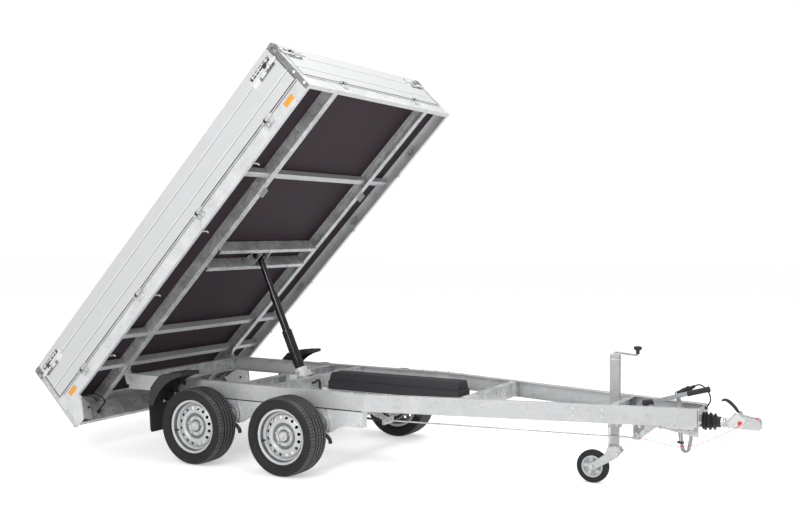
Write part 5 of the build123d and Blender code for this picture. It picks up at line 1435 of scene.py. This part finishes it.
class TRAILER_OT_ram(bpy.types.Operator):
    """Fit the ram's wiper rings, collars, trunnion blocks, pressure pipe and head gussets"""

    bl_idname = "trailer.ram"
    bl_label = "Ram"

    def execute(self, context):
        stroke = -joints["ram_slide_1"]["range_m"][0] * 1000
        barrel = Shapes()
        barrel.lathe([(48.2, -21), (51, -19), (52, -15), (52, 15), (51, 19), (48.2, 22)], ram_mm, 64, 1)
        barrel.lathe(
            [(42.7, 20.5), (47.8, 21), (48.3, 24), (48.3, 51), (47.6, 54.5), (45, 58.4), (38.4, 58.6),
             (38.4, 56), (42.7, 54)],
            ram_mm, 64, 1,
        )
        barrel.lathe(
            [(42.7, -52), (48, -50), (49.5, -46), (49.5, -24), (48.2, -20.5), (42.7, -20.5)],
            ram_mm, 64, 1,
        )
        barrel.slab((44, -30, -20), (60, 30, 20), ram_mm, 1)
        barrel.slab((-52, -30, -14), (-44, 30, 14), ram_mm, 1)
        for side in (-1, 1):
            barrel.turned(
                [(13, 0.2), (13, 3), (9, 5)], shift(ram_mm, 0, side * 80, 0) @ sideways(side), 24, 1
            )
            for bolt_z in (-11, 11):
                barrel.bolt((60, side * 20, bolt_z), (1, 0, 0), ram_mm, 13, 6, 1)
        barrel.turned([(16, -331), (30, -330.5), (40, -328)], ram_mm, 48)
        barrel.piece(
            "ram_barrel_trim", "ram_barrel", ["black_enamel", "bright_edge"], bevel=0.6
        )
        for index, (radius, inner) in enumerate(((37.0, 29.2), (28.5, 22.7))):
            top = 58.0 + stroke * (index + 1)
            ring = Shapes()
            ring.lathe(
                [(radius + 0.05, top - 16), (radius + 0.3, top - 14), (radius + 0.3, top - 3),
                 (radius - 0.6, top + 0.4), (inner, top + 0.4), (inner, top - 4), (radius - 2, top - 6)],
                ram_mm, 56,
            )
            ring.piece(
                f"wiper_ring_{index + 1}", f"ram_stage_{index + 1}", ["ground_rod"],
                bevel=0.3,
            )

        plates = Shapes()
        for side in (-1, 1):
            place = shift(bed_mm, 1511, side * 57.5, 48) @ upright(side)
            for way in (-1, 1):
                gusset = [(way * 62, 28), (way * 24, 28), (way * 52, -26), (way * 62, -26)]
                plates.prism(gusset, 2.0, 34.0, place)
        plates.piece("ram_head_gussets", "bed", ["galvanised"], bevel=0.8)

        blocks = Shapes()
        for side in (-1, 1):
            near, far = sorted((side * 80.3, side * 96.0))
            blocks.slab((-78, near, 514), (-14, far, 553), chassis_mm)
            blocks.slab((-14, near, 514), (30, far - 6 * (side > 0), 524), chassis_mm)
            blocks.bolt((-46, side * 96.0, 536), (0, side, 0), chassis_mm, 19, 9)
            blocks.bolt((4, side * 80.3, 546), (0, side, 0), chassis_mm, 19, 11)
        # Black pressure pipe from the ram's beam to the pump box, with its bright union
        blocks.tube(
            [(123, -99, 506), (150, -99, 512), (172, -99, 530), (182, -99, 530), (187, -99, 518),
             (188, -99, 500), (188, -99, 478), (196, -99, 468), (214, -99, 468)],
            9.5, chassis_mm, 14, 1,
        )
        for x in (214, 234):
            blocks.turned([(15, 0), (15, 16), (11, 19)], along_x(x, 468, -99), 6)
        blocks.turned([(9, 19), (9, 40)], along_x(234, 468, -99), 20)
        blocks.piece(
            "ram_bearing_blocks", "chassis", ["bright_edge", "black_enamel"], bevel=0.8
        )
        return {"FINISHED"}


class TRAILER_OT_fasteners(bpy.types.Operator):
    """Fit the frame's bolts: rail joints, cross members, tie plates and rear end plates"""

    bl_idname = "trailer.fasteners"
    bl_label = "Frame fasteners"

    def execute(self, context):
        across = context.scene.trailer_sizes.bolt_across * 1000
        shapes = Shapes()
        rail_face, bend_x, slope = 629.0, 878.0, math.atan2(498.0, 2016.0)
        for side in (-1, 1):
            for x in (2181.0, 2354.0):
                y = side * (rail_face - (x - bend_x) * math.tan(slope))
                facing = (math.sin(slope), side * math.cos(slope), 0)
                for z in (523.0, 482.0):
                    shapes.bolt((x, y, z), facing, chassis_mm, across, 7)
            for x in (-1128.0, -1104.0):
                for z in (478.0, 512.0):
                    shapes.bolt((x, side * rail_face, z), (0, side, 0), chassis_mm, across * 0.6, 4)
            for x in (660.0, 770.0, 880.0, 1010.0):
                y = side * (rail_face - 26.0 - max(0.0, x - bend_x) * math.tan(slope))
                shapes.bolt((x, y, 550.0), (0, 0, 1), chassis_mm, across * 0.8, 6)
            for x in (-104.0, 52.0):
                shapes.bolt((x, side * 80.0, 474.0), (0, side, 0), chassis_mm, across, 7)
            for y in (side * 592.0, side * 617.0):
                for z in (466.0, 490.0):
                    shapes.bolt((-1152.0, y, z), (-1, 0, 0), chassis_mm, across * 0.6, 4)
        for y in (-516, 516):
            plug = [(22, -12), (26, -10), (27, -4), (24, -0.2)]
            shapes.turned(plug, shift(chassis_mm, 1230, y, 440), 32, 1)
        shapes.piece("frame_bolts", "chassis", ["bright_zinc", "soft_rubber"], bevel=0)
        return {"FINISHED"}


class TRAILER_OT_mudguards(bpy.types.Operator):
    """Build the moulded mudguards: faceted arch, skirts, flap with its two bolts, and stays"""

    bl_idname = "trailer.mudguards"
    bl_label = "Mudguards"

    def execute(self, context):
        inner_y, wide, thick = 682.0, 190.0, 3.5
        wheel_x, wheel_z, cut_radius = -371.0, 262.5, 352.0
        # Stations round the arch: x and height of its facets
        arch = (
            (-447, 631), (-531, 626), (-600, 613), (-648, 598), (-690, 556), (-726, 513), (-738, 470),
            (-738, 392),
        )
        for side, name in ((1, "left"), (-1, "right")):
            shapes = Shapes()
            points = []
            for x, z in arch:
                out = Vector((x - wheel_x, z - wheel_z))
                inwards = -out.normalized()
                skirt = out.length - cut_radius
                section = (
                    # place across from the inner edge, drop below the arch
                    (0.0, skirt), (0.0, 0.0), (36.0, 0.0), (44.0, -5.0), (92.0, -5.0), (100.0, 0.0),
                    (178.0, 0.0), (187.0, 3.0), (wide, 9.0), (wide, skirt), (wide - 3.0, skirt),
                    (wide - 3.0, 10.0), (176.0, 5.0), (96.0, thick), (4.0, thick), (3.5, skirt),
                )
                for across, drop in section:
                    points.append((
                        x + inwards.x * drop, side * (inner_y + across), z + inwards.y * drop
                    ))
            shapes.faces(points, bands(len(arch), len(section)), chassis_mm)
            front = [(-447, 631), (-443.5, 631), (-441, 606), (-444.5, 606)]
            near, far = sorted((side * inner_y, side * (inner_y + wide)))
            shapes.prism(front, near, far, chassis_mm @ upright(1))
            flap_x = -735.0
            low_y = -(inner_y + wide) if side < 0 else inner_y
            flap = rounded(wide - 6, 236, 22, (low_y + wide / 2, 312), 5)
            hang = shift(chassis_mm, flap_x, 0, 400) @ Matrix.Rotation(-0.075, 4, "Y")
            shapes.prism(flap, -6.0, -1.0, shift(hang, 0, 0, -400) @ end_on)
            shapes.slab((flap_x - 1, low_y + 8, 388), (flap_x + 4, low_y + wide - 8, 404), chassis_mm)
            for y in (side * (inner_y + 40), side * (inner_y + wide - 22)):
                head = shift(chassis_mm, flap_x + 4, y, 396) @ forwards
                shapes.turned([(11, 0), (11, 2), (8, 4), (7, 8), (2, 9)], head, 20, 1)
            for x, z in ((-624.0, 533.0), (-682.0, 459.0)):
                near, far = sorted((side * 629.5, side * 702.0))
                shapes.slab((x - 15, near, z - 4), (x + 15, far, z + 1), chassis_mm, 0)
                shapes.slab((x - 15, near, z - 4), (x - 11, far, z + 24), chassis_mm, 0)
                near, far = sorted((side * 629.5, side * 634.5))
                shapes.slab((x - 15, near, z - 26), (x + 15, far, z + 1), chassis_mm, 0)
            shapes.piece(
                f"mudguard_{name}", "chassis", ["black_plastic", "bright_edge", "galvanised"],
                bevel=0.5, angle=40, replaces=["mudguards"],
            )
        return {"FINISHED"}


class TRAILER_OT_axles(bpy.types.Operator):
    """Fit the brake backplates' rings, the swing arms' ribs, the cable hooks and the cables"""

    bl_idname = "trailer.axles"
    bl_label = "Axles and brakes"

    def execute(self, context):
        shapes = Shapes()
        for wheel_x in (-axle_half_spacing, axle_half_spacing):
            for side in (-1, 1):
                # Painted shadow of the rail's lower flange, a dark strip above the axle's plate, and the hook
                # above the drum
                near, far = sorted((side * 620.2, side * 622.0))
                shapes.slab((wheel_x - 60, near, 432.0), (wheel_x + 486, far, 439.8), chassis_mm, 1)
                shapes.tube(
                    [(wheel_x + 205, side * 622, 418), (wheel_x + 209, side * 628, 410),
                     (wheel_x + 218, side * 630, 404), (wheel_x + 226, side * 627, 412)],
                    4.0, chassis_mm, 12,
                )
                shapes.turned(
                    [(8, 0), (8, 3), (6, 5)],
                    shift(chassis_mm, wheel_x + 212, side * 620.5, 424) @ sideways(side), 18,
                )
                # Small dark dot in the near-black zinc: painted shade of a hole
                shapes.turned(
                    [(3.5, 0), (3.5, 1.5)],
                    shift(chassis_mm, wheel_x + 462, side * 620, 346) @ sideways(side), 12, 1,
                )
                backplate = shift(chassis_mm, wheel_x, side * 651, wheel_radius) @ sideways(-side)
                shapes.lathe([(96, 0), (120, 0), (121, 2), (119, 5), (104, 6), (98, 3)], backplate, 56, 2)
                shapes.lathe([(121.2, 0), (125, 0), (125, 4), (121.2, 4)], backplate, 56, 0)
                shapes.tube(
                    [(wheel_x + 150, side * 650, 288), (wheel_x + 214, side * 660, 276),
                     (wheel_x + 246, side * 661, 262), (wheel_x + 266, side * 661, 240),
                     (wheel_x + 272, side * 661, 214)],
                    13.0, chassis_mm, 14, 3,
                )
                shapes.slab(
                    (wheel_x - 30, side * 640 - 8, 132), (wheel_x + 26, side * 640 + 8, 152), chassis_mm, 3
                )
                # Swing arm's forged rib, and the ring round the axle tube
                root = shift(chassis_mm, wheel_x + 170, side * 650, 336.5) @ sideways(side)
                shapes.lathe([(30, 0), (46, 0), (44, 5), (32, 5)], root, 40, 0)
        for wheel_x in (-axle_half_spacing, axle_half_spacing):
            tube_x = wheel_x + 170
            for side in (-1, 1):
                shapes.tube(
                    [(711.0, side * 24.0, 268.0), (640.0, side * 60.0, 276.0),
                     (tube_x + 76, side * 200.0, 318.0), (tube_x + 72, side * 420.0, 326.0),
                     (tube_x + 50, side * 560.0, 318.0), (wheel_x + 130, side * 640.0, 296.0)],
                    4.6, chassis_mm, 10, 3,
                )
            for y in (-420.0, 420.0):
                shapes.slab((tube_x + 35.5, y - 9, 318), (tube_x + 78, y + 9, 334), chassis_mm, 0)
        shapes.piece(
            "axle_fittings", "chassis", ["bright_zinc", "recess_zinc", "black_enamel", "soft_rubber"],
            bevel=0,
        )
        return {"FINISHED"}


class TRAILER_OT_overrun(bpy.types.Operator):
    """Fit the overrun unit's plates, bolts and strap, and the cable's guide rings"""

    bl_idname = "trailer.overrun"
    bl_label = "Overrun unit"

    def execute(self, context):
        shapes = Shapes()
        for side in (-1, 1):
            for x, z in ((2560.0, 398.0), (2640.0, 398.0), (2720.0, 420.0), (2830.0, 420.0)):
                shapes.bolt((x, side * 12.0, z), (0, side, 0), chassis_mm, 17, 8)
            outline = [
                (2476, 330), (2492, 330), (2516, 356), (2546, 404), (2530, 418), (2488, 410), (2474, 372),
            ]
            shapes.prism(outline, 0.0, 4.0, profile_plane(side * 16.5 + 2.0), 2)
            shapes.bolt((2496, side * 18.5, 348), (0, side, 0), chassis_mm, 13, 6)
            shapes.bolt((2516, side * 18.5, 396), (0, side, 0), chassis_mm, 19, 8)
            plate = [(2590, 432), (2872, 432), (2872, 446), (2590, 446)]
            shapes.prism(plate, 0.0, 5.0, profile_plane(side * 46.0 + 2.5))
            for x in (2610.0, 2700.0, 2850.0):
                shapes.bolt((x, side * 48.5, 439), (0, side, 0), chassis_mm, 13, 6)
            lug = [(2600, 446), (2872, 446), (2848, 402), (2700, 402), (2640, 420)]
            shapes.prism(lug, 0.0, 4.0, profile_plane(side * 26.0 + 2.0))
        for y in (-86.0, 86.0):
            for z in (466.0, 524.0):
                shapes.bolt((2902.0, y, z), (1, 0, 0), chassis_mm, 17, 8)
        strap = [
            (2750, 390), (2758, 330), (2766, 290), (2779, 263), (2797, 252), (2815, 263), (2828, 290),
            (2836, 330), (2842, 390),
        ]
        inner = [
            (2818, 390), (2816, 340), (2811, 300), (2805, 277), (2797, 268), (2789, 277), (2783, 300),
            (2778, 340), (2775, 390),
        ]
        shapes.prism(strap + inner, -8.0, 8.0, profile_plane(0), 2)
        for x in (2766, 2828):
            shapes.turned([(20, -4), (20, 4), (16, 8), (16, 12)], shift(chassis_mm, x, 0, 392), 28)
        shapes.lathe(
            [(17.5, -5), (20.5, -5), (21.5, 0), (20.5, 5), (17.5, 5)],
            shift(chassis_mm, 2766, 0, 318), 28, 1,
        )
        shapes.bolt((2474, -6, 318), (-1, 0, 0), chassis_mm, 17, 9)
        shapes.turned([(9, 0), (9, 26), (7, 28), (7, 40)], along_x(2400, 316.7), 20)
        # Lead clips and the small spring on the breakaway cable's guide
        for x, z in ((2548, 319), (2500, 319)):
            shapes.lathe([(3.4, -4), (5.2, -4), (5.2, 4), (3.4, 4)], along_x(x, z, -14), 18)
        shapes.piece(
            "overrun_fittings", "chassis", ["bright_zinc", "soft_rubber", "dull_zinc"],
            bevel=0.5,
        )
        return {"FINISHED"}


class TRAILER_OT_lashing(bpy.types.Operator):
    """Fit the rope hooks' bent ends and the lashing brackets inside the side profiles"""

    bl_idname = "trailer.lashing"
    bl_label = "Lashing points"

    def execute(self, context):
        hooks = Shapes()
        for side in (-1, 1):
            for u in (599.0 + 610.0 * hook for hook in range(4)):
                foot = side * (half_bed - 56)
                hooks.tube(
                    [(u, side * (half_bed - 4), 2.0), (u, side * (half_bed - 5), -3.0),
                     (u, side * (half_bed - 12), -6.0), (u, side * (half_bed - 40), -6.0),
                     (u, foot, -6.2), (u, foot - side * 4, -7.0), (u, foot - side * 7, -11.0),
                     (u, foot - side * 7, -20.0)],
                    5.8, bed_mm, 12,
                )
                hooks.turned(
                    [(8.5, 0), (8.5, 3), (7, 4)],
                    shift(bed_mm, u, side * (half_bed - 6), 4), 18,
                )
        hooks.piece(
            "rope_hook_rods", "bed", ["bright_zinc"], bevel=0, angle=50,
            replaces=["rope_hooks"],
        )
        brackets = Shapes()
        for side in (-1, 1):
            for u in (359.0, 1102.0, 1880.0, 2640.0):
                place = shift(bed_mm, u, side * (half_bed - 4), 62) @ upright(-side)
                brackets.prism(rounded(96, 34, 8), 0.0, 3.0, place)
                brackets.collar(
                    rounded(58, 42, 18, (0, -14)), rounded(42, 26, 12, (0, -14)), 4.0, 12.0, place
                )
                for bolt_x in (-36, 36):
                    brackets.bolt((bolt_x, 2, 3.0), (0, 0, 1), place, 13, 6, 0, 5)
        brackets.piece("lashing_brackets", "bed", ["bright_zinc"], bevel=0.5)
        return {"FINISHED"}


class TRAILER_OT_mitres(bpy.types.Operator):
    """Fit the beams' end plates, the apron's wings and corner plates, and the lamp harness"""

    bl_idname = "trailer.mitres"
    bl_label = "Gussets"

    def execute(self, context):
        shapes = Shapes()
        for side in (-1, 1):
            low, high = sorted((side * 604.0, side * 659.0))
            for u in (3052.0, 3058.0):
                shapes.slab((u, low, 12), (u + 3, high, 84), bed_mm)
            # Side wing below the side profile, and the folded corner plate between it and the apron; the wing in
            # paler zinc and the plate in the bright finish, as painted light where the lamps catch them
            wing = [(28, -2), (192, -2), (100, -156), (60, -163), (28, -142)]
            near, far = sorted((side * (half_bed - 1.5), side * (half_bed + 0.5)))
            shapes.prism(wing, near, far, bed_mm @ upright(1), 1)
            fold = [(30, -8), (46, -8), (46, -132), (34, -140)]
            shapes.prism(fold, near - 1.0, far + 1.0, bed_mm @ upright(1), 1)
            corner = [
                (190, side * (half_bed - 4), -4), (100, side * (half_bed - 4), -154),
                (34, side * (half_bed - 150), -150), (60, side * (half_bed - 190), -4),
            ]
            lower = [(u - 3, y - side * 3, v) for u, y, v in corner]
            shapes.faces(
                corner + lower,
                [(0, 1, 3), (1, 2, 3), (7, 5, 4), (7, 6, 5), (0, 4, 5, 1), (1, 5, 6, 2), (2, 6, 7, 3),
                 (3, 7, 4, 0)],
                bed_mm, 3,
            )
            dot = shift(bed_mm, 120, side * (half_bed - 92), -84)
            shapes.turned([(9, -14), (9, 3), (6, 6)], dot @ aim((0.75, -side * 0.62, -0.2)), 18, 2)
            # Lamp harness, clipped to the rear member
            harness = [
                (170, side * 930, -4), (167, side * 848, -8), (151, side * 775, -9),
                (104, side * 695, -10), (74, side * 657, -14), (62, side * 650, -26),
                (58, side * 674, -42), (56, side * 705, -58), (54, side * 738, -82),
            ]
            shapes.tube(harness, 5.5, bed_mm, 12, 2)
            branch = [
                (172, side * 930, -16), (160, side * 850, -20), (128, side * 792, -22),
                (96, side * 758, -30),
            ]
            shapes.tube(branch, 5.0, bed_mm, 12, 2)
            for u, y, v in (harness[2], harness[4]):
                shapes.slab((u - 8, y - 5, v - 2), (u + 8, y + 5, v + 9), bed_mm)
            plug_place = shift(bed_mm, 29, side * 742, -86) @ forwards
            shapes.turned([(11, 0), (13, 4), (13, 26), (10, 30)], plug_place, 20, 2)
        shapes.piece(
            "bed_gussets", "bed", ["galvanised", "pale_zinc", "black_sheath", "bright_edge"],
            bevel=0.6,
        )
        return {"FINISHED"}


class TRAILER_OT_mast(bpy.types.Operator):
    """Fit the jockey mast's cap, its collar and the two clamp plates with their bolts"""

    bl_idname = "trailer.mast"
    bl_label = "Jockey mast"

    def execute(self, context):
        x, y, top = mast_x, mast_y, mast_top
        shapes = Shapes()
        shapes.prism(rounded(62, 44, 8, (x, y)), top + 4.0, top + 7.0, chassis_mm)
        shapes.collar(
            rounded(66, 48, 9, (x, y)), rounded(58, 40, 6, (x, y)), top - 26, top - 20, chassis_mm
        )
        for z in (470.0, 540.0):
            shapes.slab((x + 30, y - 38, z - 20), (x + 34.5, y + 38, z + 20), chassis_mm)
            for bolt_y in (y - 30, y + 30):
                shapes.bolt((x + 34.5, bolt_y, z), (1, 0, 0), chassis_mm, 13, 6)
        shapes.piece("mast_fittings", "chassis", ["bright_zinc", "recess_zinc"], bevel=0.5)
        return {"FINISHED"}


CAD_EDGES = {
    # node: rounding of its edges in millimetres
    "chassis_rails": 2.5, "cross_members": 2.0, "ram_beams": 2.0, "trunnion_plates": 1.5,
    "bed_hinge_brackets": 1.2, "axle_tubes": 3.0, "axle_brackets": 1.5, "swing_arms": 2.0,
    "pump_tray": 1.0, "overrun_unit": 1.2, "coupling_head": 3.5, "brake_linkage": 1.0,
    "jockey_mast": 2.0, "jockey_leg": 2.0, "jockey_fork": 1.2, "side_profiles": 1.2,
    "end_profiles": 1.2, "bed_floor": 0.8, "long_beams": 2.0, "bed_cross_members": 2.0,
    "ram_head_frame": 2.0, "rear_apron": 1.0, "corner_posts": 2.0, "board_hinge_leaves": 0.6,
    "left_board": 1.0, "right_board": 1.0, "front_board": 1.0, "tailgate": 1.0,
}


class TRAILER_OT_edges(bpy.types.Operator):
    """Round the edges of the CAD nodes a little, so that they catch the light"""

    bl_idname = "trailer.edges"
    bl_label = "Edges"

    def execute(self, context):
        for name, width in CAD_EDGES.items():
            node = frame["nodes"][name]
            weld = node.modifiers.new("weld", "WELD")
            weld.merge_threshold = 0.00001
            bevel_edges(node, width, 50)
        return {"FINISHED"}


class TRAILER_OT_stage(bpy.types.Operator):
    """Set the camera, the pale floor and the soft studio light"""

    bl_idname = "trailer.stage"
    bl_label = "Stage"

    def execute(self, context):
        camera_data = bpy.data.cameras.new("photo_camera")
        camera_data.lens = 47.214
        camera_data.sensor_width = 36.0
        camera = add_object("photo_camera", camera_data)
        # The photo's camera, as fitted to the trailer's wheels, rails and bed
        heading, pitch, roll = math.radians(29.01), math.radians(90 - 1.41), math.radians(0.06)
        camera.matrix_world = (
            shift(chassis_mm, 4366, -6438, 1623) @ MM.inverted()
            @ Matrix.Rotation(heading, 4, "Z") @ Matrix.Rotation(pitch, 4, "X")
            @ Matrix.Rotation(roll, 4, "Z")
        )
        context.scene.camera = camera

        floor_mesh = bpy.data.meshes.new("studio_floor")
        reach = 40.0
        floor_mesh.from_pydata(
            [(-reach, -reach, 0), (reach, -reach, 0), (reach, reach, 0), (-reach, reach, 0)],
            [], [(0, 1, 2, 3)],
        )
        floor = add_object("studio_floor", floor_mesh)
        material, tree, principled, _ = shader("studio_floor")
        principled.inputs["Base Color"].default_value = (0.95, 0.95, 0.95, 1)
        principled.inputs["Roughness"].default_value = 0.8
        principled.inputs["Emission Color"].default_value = (1, 1, 1, 1)
        rays = tree.nodes.new("ShaderNodeLightPath")
        seen_glow = arithmetic(tree, "MULTIPLY", rays.outputs["Is Camera Ray"], 0.34)
        glow = arithmetic(tree, "ADD", seen_glow, 0.12)
        tree.links.new(glow, principled.inputs["Emission Strength"])
        floor_mesh.materials.append(material)

        world = bpy.data.worlds.new("studio")
        world.use_nodes = True
        tree = world.node_tree
        background = tree.nodes["Background"]
        background.inputs["Color"].default_value = (1, 1, 1, 1)
        background.inputs["Strength"].default_value = 1.0
        direction = tree.nodes.new("ShaderNodeTexCoord")
        parts = tree.nodes.new("ShaderNodeSeparateXYZ")
        tree.links.new(direction.outputs["Generated"], parts.inputs["Vector"])
        sky = remap(tree, parts.outputs["Z"], -0.1, 0.7, 0.22, 0.62)
        tree.links.new(sky, background.inputs["Strength"])
        backdrop = tree.nodes.new("ShaderNodeBackground")
        backdrop.inputs["Strength"].default_value = 1.3
        rays = tree.nodes.new("ShaderNodeLightPath")
        blend = tree.nodes.new("ShaderNodeMixShader")
        tree.links.new(rays.outputs["Is Camera Ray"], blend.inputs["Fac"])
        tree.links.new(background.outputs["Background"], blend.inputs[1])
        tree.links.new(backdrop.outputs["Background"], blend.inputs[2])
        tree.links.new(blend.outputs["Shader"], tree.nodes["World Output"].inputs["Surface"])
        context.scene.world = world
        context.scene.view_settings.view_transform = "Standard"
        for name, place, size, power in (
            ("key_light", (0.5, -7.0, 4.4), 3.0, 225.0),
            ("nose_light", (7.0, -0.5, 2.2), 2.0, 30.0),
            ("top_light", (0.5, 0.5, 6.5), 4.0, 170.0),
        ):
            light_data = bpy.data.lights.new(name, "AREA")
            light_data.size = size
            light_data.energy = power
            light = add_object(name, light_data)
            light.location = place
            towards = Vector((0, 0, 0.8)) - Vector(place)
            light.rotation_euler = towards.to_track_quat("-Z", "Y").to_euler()
        return {"FINISHED"}


class TRAILER_PT_panel(bpy.types.Panel):
    """Sidebar panel that lists the trailer's operators"""

    bl_idname = "TRAILER_PT_panel"
    bl_label = "Dump trailer"
    bl_space_type = "VIEW_3D"
    bl_region_type = "UI"
    bl_category = "Trailer"

    def draw(self, context):
        for group in (context.scene.trailer_finish, context.scene.trailer_sizes):
            for name in group.bl_rna.properties.keys():
                if name not in ("rna_type", "name"):
                    self.layout.prop(group, name)
        for operator in OPERATORS:
            self.layout.operator(operator.bl_idname)


OPERATORS = (
    TRAILER_OT_stage, TRAILER_OT_finishes, TRAILER_OT_cords, TRAILER_OT_tyres, TRAILER_OT_rims,
    TRAILER_OT_bellows, TRAILER_OT_handbrake, TRAILER_OT_coupling, TRAILER_OT_jockey,
    TRAILER_OT_pump_box, TRAILER_OT_latches, TRAILER_OT_hinges, TRAILER_OT_posts,
    TRAILER_OT_lamps, TRAILER_OT_ram, TRAILER_OT_fasteners, TRAILER_OT_mudguards,
    TRAILER_OT_axles, TRAILER_OT_overrun, TRAILER_OT_lashing, TRAILER_OT_mitres,
    TRAILER_OT_mast, TRAILER_OT_edges,
)
CLASSES = (TrailerFinish, TrailerSizes, *OPERATORS, TRAILER_PT_panel)


def register():
    for cls in CLASSES:
        bpy.utils.register_class(cls)
    bpy.types.Scene.trailer_finish = PointerProperty(type=TrailerFinish)
    bpy.types.Scene.trailer_sizes = PointerProperty(type=TrailerSizes)


def unregister():
    del bpy.types.Scene.trailer_sizes
    del bpy.types.Scene.trailer_finish
    for cls in reversed(CLASSES):
        bpy.utils.unregister_class(cls)


def main():
    """Dress the trailer."""
    register()
    bpy.ops.trailer.stage()
    bpy.ops.trailer.finishes()
    bpy.ops.trailer.cords()
    bpy.ops.trailer.tyres()
    bpy.ops.trailer.rims()
    bpy.ops.trailer.bellows()
    bpy.ops.trailer.handbrake()
    bpy.ops.trailer.coupling()
    bpy.ops.trailer.jockey()
    bpy.ops.trailer.pump_box()
    bpy.ops.trailer.latches()
    bpy.ops.trailer.hinges()
    bpy.ops.trailer.posts()
    bpy.ops.trailer.lamps()
    bpy.ops.trailer.ram()
    bpy.ops.trailer.fasteners()
    bpy.ops.trailer.mudguards()
    bpy.ops.trailer.axles()
    bpy.ops.trailer.overrun()
    bpy.ops.trailer.lashing()
    bpy.ops.trailer.mitres()
    bpy.ops.trailer.mast()
    bpy.ops.trailer.edges()


if __name__ == "__main__":
    main()
